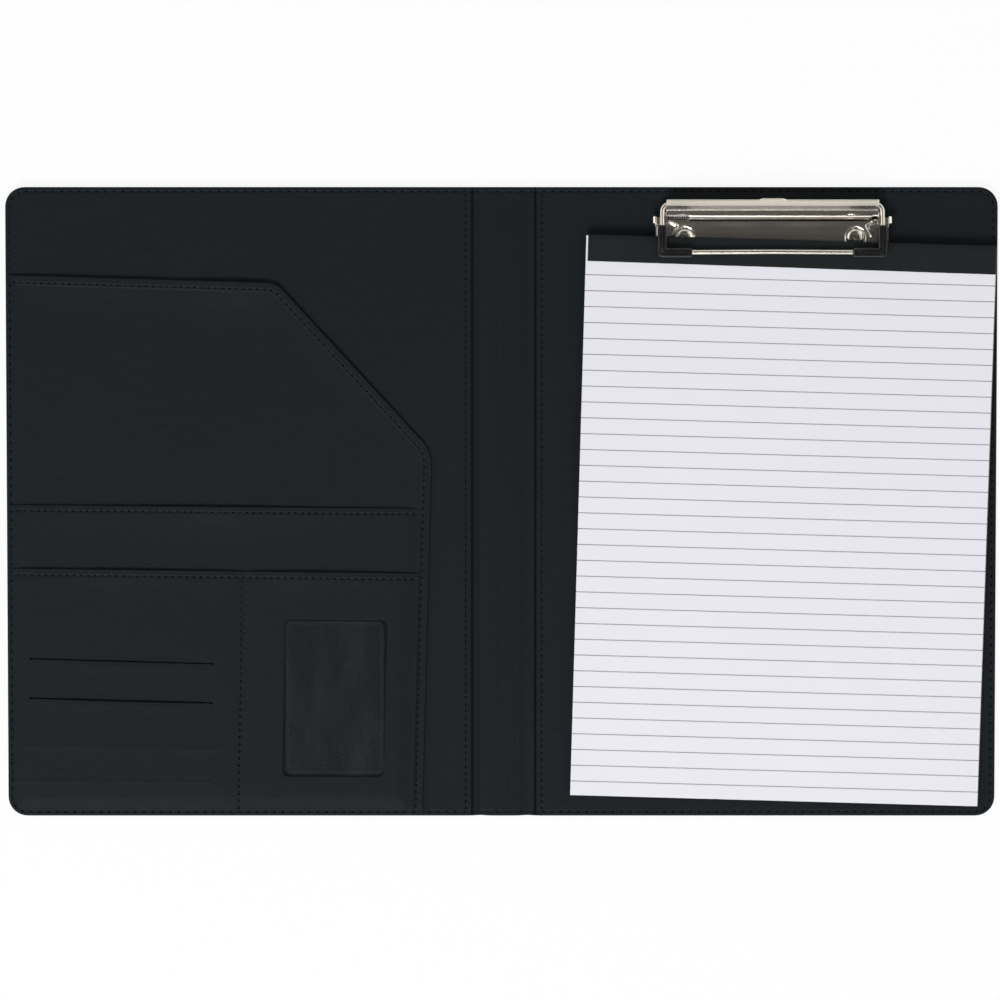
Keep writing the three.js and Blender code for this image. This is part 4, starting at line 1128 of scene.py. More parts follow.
@dataclass
class Linings:
    """Inner linings of the two panels, each sewn round its edge, and the spine's strip between them."""

    low: float = 3.6
    edge: float = 0.4
    inset: float = 0.25
    seam: float = 2.3
    spine_seam: float = 2.8
    groove: float = 0.26
    creases: tuple[Spot, ...] = (
        (7.7, 0.15, 0.8), (4.1, 0.12, 0.6), (-1.2, 0.15, 0.7), (-5.0, 0.08, 0.8), (-11.3, 0.15, 0.7),
    )
    strip_top_at: float = 4.3
    strip_thick: float = 0.75

    def panel(self, half: Half) -> None:
        """Builds one panel's lining: a sheet with rounded edges, a groove along each seam and slow waves.

        Args:
            half: Which half.
        """
        edge_x, edge_y = HALF_WIDTH - self.inset, HALF_HEIGHT - self.inset
        u, v = net(half.columns(edge_lines(half.lining, edge_x, 7)), edge_lines(-edge_y, edge_y, 7))
        out = half.side * u
        outer, inner = np.minimum(edge_x - out, edge_y - np.abs(v)), out - half.lining
        corner = CORNER - self.inset
        x, y = round_corners(u, v, [(half.side * edge_x, half.side)], both_ways(edge_y), corner)
        inset = np.minimum(outer, inner)
        row = self.seam - self.inset
        deep = np.maximum(bump(outer, row, 0.55), bump(inner, self.spine_seam, 0.55))
        slow = 0.5 * (1 - ripple(x, y, 45, 5 + half.side)) * smooth(inset, 3.5, 16)
        top = TOP - edge_drop(inset, self.edge) - self.groove * deep - 0.16 * slow
        low = self.low + 0.3 * edge_drop(inset, self.edge)
        upper = stacked(x, y, top)
        surface = grid_solid(upper, stacked(x, y, low))
        piece = make(f"lining_{half.name}_sewn", surface, LINING)
        flat = surface.points
        gap_x, gap_y = edge_x - np.abs(flat[:, 0]), edge_y - np.abs(flat[:, 1])
        spine = half.side * flat[:, 0] - half.lining
        rows = [(flat[:, 1] / EDGE_STITCH, gap_x - row), (flat[:, 0] / EDGE_STITCH, gap_y - row),
                (flat[:, 1] / STITCH, spine - self.spine_seam)]
        note(piece, "seam", beside_seams(rows))
        flat_size = (edge_x - half.lining, 2 * edge_y)
        sheet(piece, flat_size, "stretched", [f"board_{half.name}"], face_area(upper))
        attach(piece, half.body)
        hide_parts(f"lining_{half.name}")

    def strip_top(self, x: Array, y: Array, half: Half) -> Array:
        """Height of the spine's strip: a plateau over the spine's board that falls into the fold's valley.

        Towards the fold a soft step of 6 mm leads down by 0.7, and beyond it one of 3.5 mm leads up by 0.3.
        At the lining's edge the strip goes under it, 0.9 lower. Thin bells are the creases, each swaying
        along Y by a sine wave, and short waves crumple the head. A bell at each end is the seam's groove.

        Args:
            x: Places along X.
            y: Places along Y.
            half: Which half.

        Returns:
            The height of each place.
        """
        out = half.side * x
        fall = 0.7 * smooth(out, half.fold - 6, half.fold) - 0.3 * smooth(out, half.fold, half.fold + 3.5)
        top = self.strip_top_at - fall - 0.9 * smooth(out, half.lining - 1.3, half.lining - 0.3)
        for i, (place, depth, width) in enumerate(self.creases):
            strength = 0.75 + 0.25 * np.sin(y / 23 + 2 * i)
            top = top - depth * bump(x, place + 0.5 * np.sin(y / 41 + i), width) * strength
        head = bump(y, 152, 9) * bump(x, 1.5, 9)
        crumple = 0.3 * head * (1 - ripple(x, y, 5, 12))
        ends = smooth(HALF_HEIGHT - np.abs(y), 0.2, 0.9)
        return top - crumple - 0.3 * bump(HALF_HEIGHT - np.abs(y), self.seam, 0.5) - 0.25 * (1 - ends)

    def strip(self, half: Half) -> None:
        """Builds half of the spine's strip with its short rows of stitches at both ends.

        Args:
            half: Which half.
        """
        edge_y = HALF_HEIGHT - 0.3
        lines = half.columns(np.linspace(half.split, half.lining - 0.05, 42))
        x, y = net(lines, edge_lines(-edge_y, edge_y, 4))
        top = self.strip_top(x, y, half)
        upper = stacked(x, y, top)
        surface = grid_solid(upper, stacked(x, y, top - self.strip_thick))
        piece = make(f"spine_strip_{half.name}", surface, STRIP)
        flat = surface.points
        ends = HALF_HEIGHT - np.abs(flat[:, 1]) - self.seam
        note(piece, "seam", np.stack([flat[:, 0] / EDGE_STITCH, ends, np.ones(len(flat))], -1))
        flat_size = (abs(lines[-1] - lines[0]) * 1.02, 2 * edge_y)
        sheet(piece, flat_size, "laid", ["board_spine"], face_area(upper))
        half.bend(piece)
        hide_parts("spine_lining", f"spine_lining_edge_{half.name}")
        line = half.side * np.linspace(half.split + 0.6, half.lining - 0.3, 40)
        rows = []
        for up in (-1, 1):
            along = np.full(line.shape, up * (HALF_HEIGHT - self.seam))
            top = self.strip_top(line, along, half) + 0.1
            rows.append(stitches(np.stack([line, along, top], -1), EDGE_STITCH, thick=0.22))
        seam = make(f"spine_seam_{half.name}", rows[0].joined(rows[1]), BLENDED_THREAD)
        half.bend(seam)

    def seams(self) -> None:
        """Builds the rows of stitches on both linings; the front's outer row climbs over the pockets."""
        edge_x, edge_y, r = HALF_WIDTH - self.seam, HALF_HEIGHT - self.seam, CORNER - self.seam
        low = TOP - self.groove + 0.16
        for half in (BACK, FRONT):
            near, far = half.side * (half.lining + 1.5), half.side * edge_x
            stops = [(near, -edge_y, 0), (far, -edge_y, 0, r), (far, edge_y, 0, r), (near, edge_y, 0)]
            round_edge = dense(route(stops))
            across, up = round_edge[:, 0], round_edge[:, 1]
            round_edge[:, 2] = low if half is BACK else Pockets().edge_height(across, up)
            inner = half.side * (half.lining + self.spine_seam)
            spine = route([(inner, -edge_y, low), (inner, edge_y, low)])
            rows = stitches(round_edge, EDGE_STITCH).joined(stitches(spine))
            piece = make(f"lining_seam_{half.name}", rows, THREAD)
            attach(piece, half.body)

    def build(self) -> None:
        """Builds linings, strip and seams."""
        for half in (BACK, FRONT):
            self.panel(half)
            self.strip(half)
        self.seams()


def outline(corners: Sequence[Spot], step: float = 2.0) -> Grid:
    """A closed line with rounded corners, run anticlockwise, and its inward direction.

    Each inward direction is a mitre, so that the line moved by it stays parallel to itself. Beside a
    sharp corner it leans towards the corner's mitre, so that moved points don't pass each other.

    Args:
        corners: (x, y, radius) each.
        step: Distance between points on the straights.

    Returns:
        Points and mitres, shape (count, 2) each.
    """
    pts = np.array([c[:2] for c in corners], float)
    radius = np.array([c[2] for c in corners], float)
    a = unit(pts - np.roll(pts, 1, 0))
    b = np.roll(a, -1, 0)
    turn = np.arccos(np.clip((a * b).sum(1), -1, 1))
    way = np.sign(a[:, 0] * b[:, 1] - a[:, 1] * b[:, 0])
    cut = radius * np.tan(turn / 2)
    left = np.stack([-a[:, 1], a[:, 0]], -1)
    after = np.roll(left, -1, 0)
    mitre = (left + after) / (1 + (left * after).sum(1, keepdims=True))
    line, mitres = [], []
    for i, point in enumerate(pts):
        if radius[i] > 0:
            centre = point - a[i] * cut[i] + left[i] * way[i] * radius[i]
            angle = np.linspace(0, turn[i], max(5, ceil(np.degrees(turn[i]) / 7)))[:, None] * way[i]
            inward = left[i] * np.cos(angle) - a[i] * np.sin(angle)
            line.append(centre - inward * way[i] * radius[i])
            mitres.append(inward)
        else:
            line.append(point[None])
            mitres.append(mitre[i][None])
        after_i = (i + 1) % len(pts)
        start, end = point + b[i] * cut[i], pts[after_i] - b[i] * cut[after_i]
        span = float(np.linalg.norm(end - start))
        count = ceil(span / step)
        share = (np.arange(1, count) / count)[:, None]
        line.append(start + (end - start) * share)
        rate = span / min(24.0, span)
        inward = np.repeat(after[i][None], max(count - 1, 0), 0)
        for k, gap in ((i, share), (after_i, 1 - share)):
            inward = inward + np.clip(1 - gap * rate, 0, 1) * (mitre[k] - after[i]) * (radius[k] == 0)
        mitres.append(inward)
    return np.concatenate(line), np.concatenate(mitres)


@dataclass
class Pockets:
    """The front panel's pockets: the document pocket, the middle one and the lower one with its
    card slits and window. Measures run across from the panel's outer edge and up from its lower one."""

    inset: float = 1.0
    doc: tuple[Spot, ...] = ((1, 1, 9), (213.8, 1, 0), (218.7, 188.5, 17), (139, 275, 10.5), (1, 279, 0))
    doc_row: float = 3.7
    hem: float = 4.4
    lean: float = 4.9 / 188.5
    foot: float = 213.8
    gap: float = 4.7
    edge_row: float = 1.3
    cloth: float = 0.5
    middle_base: float = 4.92
    lower_base: float = 5.44
    middle: Pair = (161.0, 159.0)
    middle_head: float = 160.0
    middle_row: float = 2.9
    lower: Pair = (128.3, 125.7)
    lower_head: float = 127.0
    lower_row: float = 3.2
    window: Box = (141.4, 20.9, 193.3, 102.4)
    window_radius: float = 2.8
    slits: Pair = (80.0, 59.8)
    slit_middle: float = 58.3
    slit_half: float = 46.0
    card_rows: tuple[Box, ...] = ((7.8, 107.8, 35.3, 80.0), (4.2, 104.2, 17.8, 59.8))
    divider: tuple[Spot, Spot] = ((121.1, 123.4, 0), (118.9, 2.3, 0))

    @staticmethod
    def world(places: Array) -> Array:
        """Returns places measured from the panel's lower outer corner in the common frame."""
        return places - np.array([HALF_WIDTH, HALF_HEIGHT, 0])

    def edge_height(self, x: Array, y: Array) -> Array:
        """Finds the height of the outer row of stitches: a step up for each pocket it goes through.

        Args:
            x: Places along X.
            y: Places along Y.

        Returns:
            The height of each place.
        """
        across, up = x + HALF_WIDTH, y + HALF_HEIGHT
        left, foot = across < 12, up < 12
        sewn = lambda top, end: (left & (up < top)) | (foot & (across < end))
        levels = [(sewn(self.lower[0], 209.0), 5.86), (sewn(self.middle[0], 209.0), 5.34),
                  (sewn(279, self.foot), 4.86)]
        return np.select([where for where, _ in levels], [level for _, level in levels], 4.22)

    def document(self) -> None:
        """Builds the document pocket: rings parallel to its outline, then rings that shrink to a middle.

        Height is the cloth's thickness, a hem along the free edges, a groove along each seam, and a lift
        that lets the mouth stand open.
        """
        line, mitre = outline(self.doc)
        sewn = (line[:, 0] < 1.5) | (line[:, 1] < 1.5) | ((line[:, 0] < 10) & (line[:, 1] < 10))
        row = np.where(sewn, self.doc_row - 2.4, self.doc_row)
        near = [0, 0.08, 0.25, 0.5, 0.9, 1.3, 1.7, 2.2, 2.7, 3.1]
        insets = np.array([*near, 3.4, 3.7, 4.0, 4.3, 4.6, 5.0, 5.8, 7.0, 9.0])
        shares = np.linspace(0.02, 0.98, 44)
        middle = np.array([108.0, 118.0])
        fine = line + mitre * insets[:, None, None]
        inner = fine[-1] + (middle - fine[-1]) * shares[:, None, None]
        plan = np.concatenate([fine, inner])
        inset = np.concatenate([insets, np.full(len(shares), 30.0)])[:, None] + 0 * plan[..., 0]
        lift = self.document_lift(plan[..., 0], plan[..., 1])
        free = np.where(sewn, 0.0, 1.0)
        thick = np.where(sewn, 0.5, 0.8) + np.where(sewn, 0.3, 0.0) * smooth(inset, 2, 9)
        hem = 0.5 * free * (1 - smooth(inset, self.hem - 0.4, self.hem + 0.5))
        groove = 0.36 * bump(inset, row, 0.5)
        top = TOP + 0.05 + lift + thick + hem - edge_drop(inset, 0.4) - groove
        top = top - 0.1 * (1 - ripple(plan[..., 0], plan[..., 1], 40, 21)) * smooth(inset, 6, 20)
        low = TOP + 0.02 + lift + 0.25 * edge_drop(inset, 0.4)
        keep_low = [0, 1, 3, 6, 10, 16, 18, 24, 31, 38, 46, 54, 62]
        lower = np.concatenate([plan[keep_low], low[keep_low][..., None]], -1)[::-1]
        upper = np.concatenate([plan, top[..., None]], -1)
        rows = self.world(np.concatenate([lower, upper]))
        surface = ring_solid(rows)
        piece = make("document_pocket_sewn", surface, POCKET)
        along = np.broadcast_to(np.arange(len(line)) * 2.0 / STITCH, inset.shape)
        seam = np.stack([along, inset - row, np.ones(inset.shape)], -1)
        places = np.concatenate([np.full((lower.shape[0], len(line), 3), [0, 9.0, 0]), seam]).reshape(-1, 3)
        note(piece, "seam", np.concatenate([places, [[0, 9, 0]] * 2]))
        corners = np.array([c[:2] for c in self.doc])
        cross = corners[:, 0] * np.roll(corners[:, 1], -1) - corners[:, 1] * np.roll(corners[:, 0], -1)
        sheet(piece, (217.7, 278.0), "laid", ["lining_front_sewn"], float(abs(cross.sum()) / 2))
        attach(piece, "front_panel")
        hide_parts("document_pocket")
        stops = self.inset_stops(self.doc_row)
        stops[0] = (stops[0][0], 3.5, *stops[0][2:])
        seam_line = dense(route(stops))
        rise = self.document_lift(seam_line[:, 0], seam_line[:, 1])
        seam_line[:, 2] = TOP + 0.05 + 0.8 + 0.5 - 0.36 + 0.16 + rise
        row_piece = make("document_pocket_seam", stitches(self.world(seam_line)), THREAD)
        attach(row_piece, "front_panel")

    def inset_stops(self, inset: float) -> list[tuple[float, ...]]:
        """Moves the document pocket's free edge, from its foot to its upper outer end, inwards.

        Args:
            inset: How far.

        Returns:
            Stops for route().
        """
        pts = np.array([c[:2] for c in self.doc], float)
        a = unit(pts - np.roll(pts, 1, 0))
        left = np.stack([-a[:, 1], a[:, 0]], -1)
        after = np.roll(left, -1, 0)
        moved = pts + inset * (left + after) / (1 + (left * after).sum(1, keepdims=True))
        turns = [(*moved[i], 0.0, max(self.doc[i][2] - inset, 0.0)) for i in (1, 2, 3)]
        return [*turns, (2.6, moved[4][1], 0.0)]

    @staticmethod
    def document_lift(x: Array, y: Array) -> Array:
        """How far the document pocket stands off the lining: bells along its mouth and its slope.

        They die out inwards, towards the outer seam and below the slope. The mouth's line falls by 4 mm in
        138, and the slope's distance is measured square to its direction, (86.5, 79.7).

        Args:
            x: Places across.
            y: Places up.

        Returns:
            The lift of each place.
        """
        head = 279 - 4 * x / 138
        mouth = 0.3 + 1.25 * bump(x, 119, 20) + 0.5 * bump(x, 55, 32)
        slope = ((218.7 - x) * 86.5 + (188.5 - y) * 79.7) / hypot(86.5, 79.7)
        side = 0.45 * bump(slope, 0, 9) * bump(y, 238, 34)
        return (mouth * bump(head - y, 0, 12) + side) * smooth(x, 4, 16) * smooth(y, 150, 190)

    def rounded(self, x: Array, y: Array) -> Grid:
        """Returns a pocket's grid with its corner at the panel's lower outer corner rounded."""
        edge = [(self.inset, -1)]
        return round_corners(x, y, edge, edge, CORNER - self.inset)

    def stretch(self, x: Array, y: Array, head: float, tops: Pair) -> Grid:
        """Stretches a grid to the leaning side and the sloping mouth.

        Y is scaled from the grid's head to the mouth's height there, then X from the grid's end to the
        side's place there, both from the panel's corner.

        Args:
            x: Places across.
            y: Places up.
            head: The grid's upper end.
            tops: Height of the mouth at the outer and the inner end.

        Returns:
            The places after it.
        """
        end, corner = self.foot - self.gap, self.inset
        mouth = tops[0] + (tops[1] - tops[0]) * x / end
        y = corner + (y - corner) * (mouth - corner) / (head - corner)
        x = corner + (x - corner) * (end + self.lean * y - corner) / (end - corner)
        return x, y

    @staticmethod
    def divider_at(y: Array) -> Array:
        """Returns how far across the lower pocket's divider lies: a line that leans by 1 mm in 55."""
        return 121 + (y - 126) / 55

    def middle_lift(self, across: Array, mouth: Array | float) -> Array:
        """Returns how far the middle pocket's mouth stands open: bells along and off it, none at its ends."""
        side = self.foot - self.gap - across
        along = 0.25 + 0.75 * bump(across, 105, 46)
        return along * bump(mouth, 0, 9) * smooth(across, 4, 20) * smooth(side, 2, 14)

    def lower_lift(self, across: Array, mouth: Array | float) -> Array:
        """Returns how far the lower pocket's mouth stands open: the same, with less at the divider."""
        side = self.foot - self.gap - across
        along = 0.15 + 0.55 * bump(across, 150, 30) + 0.5 * bump(across, 60, 30)
        lift = along * bump(mouth, 0, 8) * smooth(side, 2, 14) * smooth(across, 4, 20)
        return lift * (1 - 0.8 * bump(across, 121, 9))

    def middle_pocket(self) -> None:
        """Builds the middle pocket: a sheet flat on its sewn edges, with a groove and a slack mouth."""
        end, head, row = self.foot - self.gap, self.middle_head, self.middle_row
        u, v = net(edge_lines(self.inset, end, 6), edge_lines(self.inset, head, 7))
        x, y = self.stretch(*self.rounded(u, v), head, self.middle)
        sewn, mouth = np.minimum(u, v) - 1, head - v
        side = end - u
        flat = smooth(np.minimum(sewn, side), 0.5, 9)
        groove = 0.3 * np.maximum(bump(sewn, self.edge_row, 0.5), bump(mouth, row, 0.5))
        inset = np.minimum(np.minimum(sewn, side), mouth)
        base = self.middle_base + 0.36 * flat + self.middle_lift(u, mouth)
        top = base + self.cloth + 0.22 * flat - groove - edge_drop(inset, 0.35)
        top = top + 0.06 * ripple(x, y, 30, 31) * flat
        seam = beside_seams([*self.edge_seams(u, v), (u / STITCH, mouth - row)])
        lower = stacked(x, y, base + 0.1 * edge_drop(inset, 0.35))
        self.add("middle_pocket", stacked(x, y, top), lower, seam, None, (end - 1, head - 1))
        line = np.linspace(4, end - 2, 300)
        mid_x, mid_y = self.stretch(line, np.full(300, head - row), head, self.middle)
        level = self.middle_base + self.cloth + 0.58 * smooth(np.minimum(line - 1, end - line), 0.5, 9)
        places = np.stack([mid_x, mid_y, level + self.middle_lift(line, row) - 0.12], -1)
        piece = make("middle_pocket_seam", stitches(self.world(places)), THREAD)
        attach(piece, "front_panel")

    def edge_seams(self, across: Array, up: Array) -> list[Grid]:
        """Returns stitches along and distance off for the two sewn edges at the panel's lower corner."""
        off = [place - self.inset - self.edge_row for place in (across, up)]
        return [(up / EDGE_STITCH, off[0]), (across / EDGE_STITCH, off[1])]

    def add(
        self, name: str, upper: Array, lower: Array, seam: Array, keep: Array | None, flat: Pair
    ) -> None:
        """Makes a pocket from its two faces.

        Args:
            name: The CAD node that it stands for.
            upper: Upper face, from the panel's corner.
            lower: Lower face.
            seam: Nearest seam for each place of the grid.
            keep: Which cells exist.
            flat: Width and length of the cut.
        """
        upper, lower = self.world(upper), self.world(lower)
        piece = make(f"{name}_sewn", grid_solid(upper, lower, keep), POCKET)
        both = np.concatenate([seam.reshape(-1, 3), np.full((seam[..., 0].size, 3), [0, 9.0, 0])])
        if keep is not None:
            cells = np.pad(keep, 1)
            used = (cells[:-1, :-1] | cells[1:, :-1] | cells[:-1, 1:] | cells[1:, 1:]).ravel()
            both = both[np.concatenate([used, used])]
        note(piece, "seam", both)
        below = {"middle_pocket": "document_pocket_sewn", "lower_pocket": "middle_pocket_sewn"}[name]
        sheet(piece, flat, "laid", [below], face_area(upper, keep))
        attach(piece, "front_panel")
        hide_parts(name)

    def lower_pocket(self) -> None:
        """Builds the lower pocket: a grid whose cells in the window and the slits are left out.

        The window's corners are rounded, each slit swells to a round hole at its ends and gapes a little
        in its middle, and the cloths behind the slits show as low welts.
        """
        end, head, row = self.foot - self.gap, self.lower_head, self.lower_row
        left, low, right, high = self.window
        near = np.array([0, 0.08, 0.25, 0.6, 1.1, 1.8, 2.8, 4.4])
        ends = [self.slit_middle + way * self.slit_half + np.arange(-1.2, 1.25, 0.2) for way in (-1, 1)]
        columns = [edge_lines(1, end, 6), left - near, right + near, [left + 2.8, right - 2.8], *ends]
        about = np.array([-1, -0.5, 0, 0.5, 1])
        columns += [place + about for card in self.card_rows for place in card[:2]]
        columns.append(120.0 + np.arange(-2.5, 2.6, 0.5))
        off = np.array([0.3, 0.4, 0.65, 1.1, 1.8, 3.0])
        slit_lines = [s + way * off for s in self.slits for way in (-1, 1)]
        rows = [edge_lines(1, head, 6), low - near, high + near, [low + 2.8, high - 2.8], *slit_lines]
        rows += [card[2] + about for card in self.card_rows]
        lips = [s + way * 0.3 for s in self.slits for way in (-1, 1)]
        u, v = net(spaced(columns), spaced(rows, lips))
        openings = ((left, -1), (right, 1)), ((low, -1), (high, 1))
        x, y = round_corners(*self.rounded(u, v), *openings, self.window_radius, 5)
        off = u - self.slit_middle
        bow = np.clip(1 - (off / self.slit_half) ** 2, 0, 1)
        for k, place in enumerate(self.slits):
            hole = 0.4 * bump(np.abs(off), self.slit_half, 0.42)
            gape = (0.06 + 0.3 * k) * bow
            away = np.abs(v - place)
            fading = np.exp(-np.maximum(away - 0.3, 0) / 1.3)
            y = y + np.sign(v - place) * (hole + gape) * fading * (away > 0.29)
        region = smooth(v, 20, 45) * (1 - smooth(v, 92, 112)) * (1 - smooth(np.abs(off), 52, 66))
        y = y - tan(radians(1.2)) * np.clip(off, -52, 52) * region
        x, y = self.stretch(x, y, head, self.lower)
        cell_u, cell_v = (0.25 * (g[1:, 1:] + g[:-1, 1:] + g[1:, :-1] + g[:-1, :-1]) for g in (u, v))
        open_window = (cell_u > left) & (cell_u < right) & (cell_v > low) & (cell_v < high)
        open_slit = np.zeros(cell_u.shape, bool)
        for place in self.slits:
            within = np.abs(cell_u - self.slit_middle) < self.slit_half + 0.7
            open_slit |= (np.abs(cell_v - place) < 0.3) & within
        sewn, mouth, side = np.minimum(u, v) - 1, head - v, end - u
        aside, above = np.maximum(left - u, u - right), np.maximum(low - v, v - high)
        beyond = np.hypot(np.maximum(aside, 0), np.maximum(above, 0))
        flat = smooth(np.minimum(sewn, side), 0.5, 10)
        divider = self.divider_at(v)
        groove = np.maximum(bump(mouth, row, 0.5), bump(u, divider, 0.8))
        groove = 0.32 * np.maximum(bump(sewn, self.edge_row, 0.5), groove)
        inset = np.minimum(np.minimum(np.minimum(sewn, side), mouth), np.maximum(beyond, 0))
        base = self.lower_base + 1.0 * flat + self.lower_lift(u, mouth) - 0.5 * bump(u, divider, 5) * flat
        lips = sum(0.2 * bump(v, s - 2.2, 2.2) * bow for s in self.slits)
        top = base + self.cloth + 0.25 * flat - groove - edge_drop(inset, 0.35) + self.welts(u, v) + lips
        top = top + 0.06 * ripple(x, y, 26, 33) * flat
        seams = [*self.edge_seams(u, v), (u / STITCH, mouth - row), (v / STITCH, u - divider)]
        keep = ~(open_window | open_slit)
        faces = stacked(x, y, top), stacked(x, y, base + lips)
        self.add("lower_pocket", *faces, beside_seams(seams), keep, (end - 1, head - 1))
        self.lower_seams()

    def lower_seams(self) -> None:
        """Builds the lower pocket's stitches: one row along its mouth and one down the divider."""
        end, head, row = self.foot - self.gap, self.lower_head, self.lower_row
        line = np.linspace(4, end - 2, 300)
        row_x, row_y = self.stretch(line, np.full(300, head - row), head, self.lower)
        flat = smooth(np.minimum(line - 1, end - line), 0.5, 10)
        level = self.lower_base + self.cloth
        height = level + 1.25 * flat + self.lower_lift(line, row) - 0.5 * bump(line, 121, 5) * flat - 0.14
        rows_made = stitches(self.world(np.stack([row_x, row_y, height], -1)))
        down = dense(route(self.divider))
        flat = smooth(np.minimum(down[:, 1] - 1, 40), 0.5, 10)
        down[:, 2] = level + 1.25 * flat - 0.5 * flat - 0.06
        piece = make("lower_pocket_seams", rows_made.joined(stitches(self.world(down))), THREAD)
        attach(piece, "front_panel")

    def welts(self, x: Array, y: Array) -> Array:
        """The low welts over the edges of the cloths behind the slits: a bell over each edge.

        Args:
            x: Places across.
            y: Places up.

        Returns:
            The height that they add at each place.
        """
        total = np.zeros(x.shape)
        for left, right, low, high in self.card_rows:
            within = smooth(y, low - 1.5, low) * (1 - smooth(y, high - 1, high + 1))
            spread = smooth(x, left - 1.5, left) * (1 - smooth(x, right, right + 1.5))
            total += 0.04 * within * spread + 0.07 * bump(y, low, 0.9) * spread
            total += 0.07 * (bump(x, left, 0.9) + bump(x, right, 0.9)) * within
        return total

    def backings(self) -> None:
        """Builds what lies behind the window and the slits: a wavy clear film and two thin cloths."""
        left, low, right, high = self.window
        behind = (left - 5, low - 5, right + 5, high + 5)
        cards = (6.6, 16.4, 109.6, 89.6)
        plans = [
            ("id_window_film", "window_film", behind, 6.32, 0.16, 0.07, Film(), "film"),
            ("window_pocket_cloth", "window_cloth", behind, 6.04, 0.14, 0.02, Weave(), "cloth"),
            ("card_pocket_cloth", "card_cloth", cards, 5.74, 0.14, 0.03, Weave(), "cloth"),
        ]
        for node, name, (x0, y0, x1, y1), z, thick, wave, finish, slot in plans:
            u, v = net(np.linspace(x0, x1, 40), np.linspace(y0, y1, 56))
            rise = z + wave * ripple(u, v, 22, 41) + 0.28 * smooth(u, 4, 20) * (name == "card_cloth")
            upper, lower = self.world(stacked(u, v, rise + thick)), self.world(stacked(u, v, rise))
            piece = make(name, grid_solid(upper, lower), finish)
            sheet(piece, (x1 - x0, y1 - y0), "laid", ["middle_pocket_sewn"], face_area(upper))
            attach(piece, "front_panel")
            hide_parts(node)

    def build(self) -> None:
        """Builds all pockets and what lies behind their openings."""
        self.document()
        self.middle_pocket()
        self.lower_pocket()
        self.backings()


def spaced(groups: Sequence[Sequence[float]], must: Sequence[float] = (), least: float = 0.05) -> Array:
    """Puts grid lines from several groups in order, without near doubles.

    Args:
        groups: The lines.
        must: Lines that stay.
        least: Smallest distance between two others.

    Returns:
        The lines that are left.
    """
    lines = np.unique(np.round(np.concatenate([np.asarray(g, float) for g in groups]), 4))
    near = [np.abs(np.asarray(must, float) - line).min() if len(must) else 9.0 for line in lines]
    fixed = np.array(near) < 1e-3
    free = lines[~fixed & (np.array(near) > least)]
    free = free[np.concatenate([[True], np.diff(free) > least])]
    return np.unique(np.concatenate([free, lines[fixed]]))


# The clip and the pad


def bent(line: Array, thick: float) -> Array:
    """The outline of a bent sheet: the middle line moved by half the thickness to each side.

    Args:
        line: Points of the middle line in the section's plane, shape (count, 2).
        thick: Thickness.

    Returns:
        A closed loop, anticlockwise for a line that runs backwards over its left side.
    """
    along = unit(np.gradient(line, axis=0))
    left = np.stack([-along[:, 1], along[:, 0]], -1) * thick / 2
    tips = 0.35 * thick * along
    return np.concatenate([line - left, [line[-1] + tips[-1]], (line + left)[::-1], [line[0] - tips[0]]])


def section_solid(stations: Array, loop: Array) -> Surface:
    """Carries a section in the (Y, Z) plane along X.

    Args:
        stations: X of each station.
        loop: Section, shape (places, 2) or one for each station.

    Returns:
        The closed surface.
    """
    loops = np.broadcast_to(loop, (len(stations), *loop.shape[-2:]))
    rows = np.concatenate([np.broadcast_to(stations[:, None, None], (*loops.shape[:2], 1)), loops], -1)
    return loop_solid(rows)


def at_stations(part: Array, count: int) -> Array:
    """Returns a stretch of a section's line for each of the stations."""
    return np.broadcast_to(part, (count, *part.shape))


def soften(piece: Piece, width: float, segments: int = 2) -> None:
    """Rounds a piece's sharp edges.

    Args:
        piece: The piece.
        width: Width of the rounding in millimetres.
        segments: Faces across it.
    """
    bevel = piece.modifiers.new("Soft edges", "BEVEL")
    bevel.width = width * MM
    bevel.segments = segments
    bevel.limit_method = "ANGLE"
    bevel.angle_limit = radians(38)


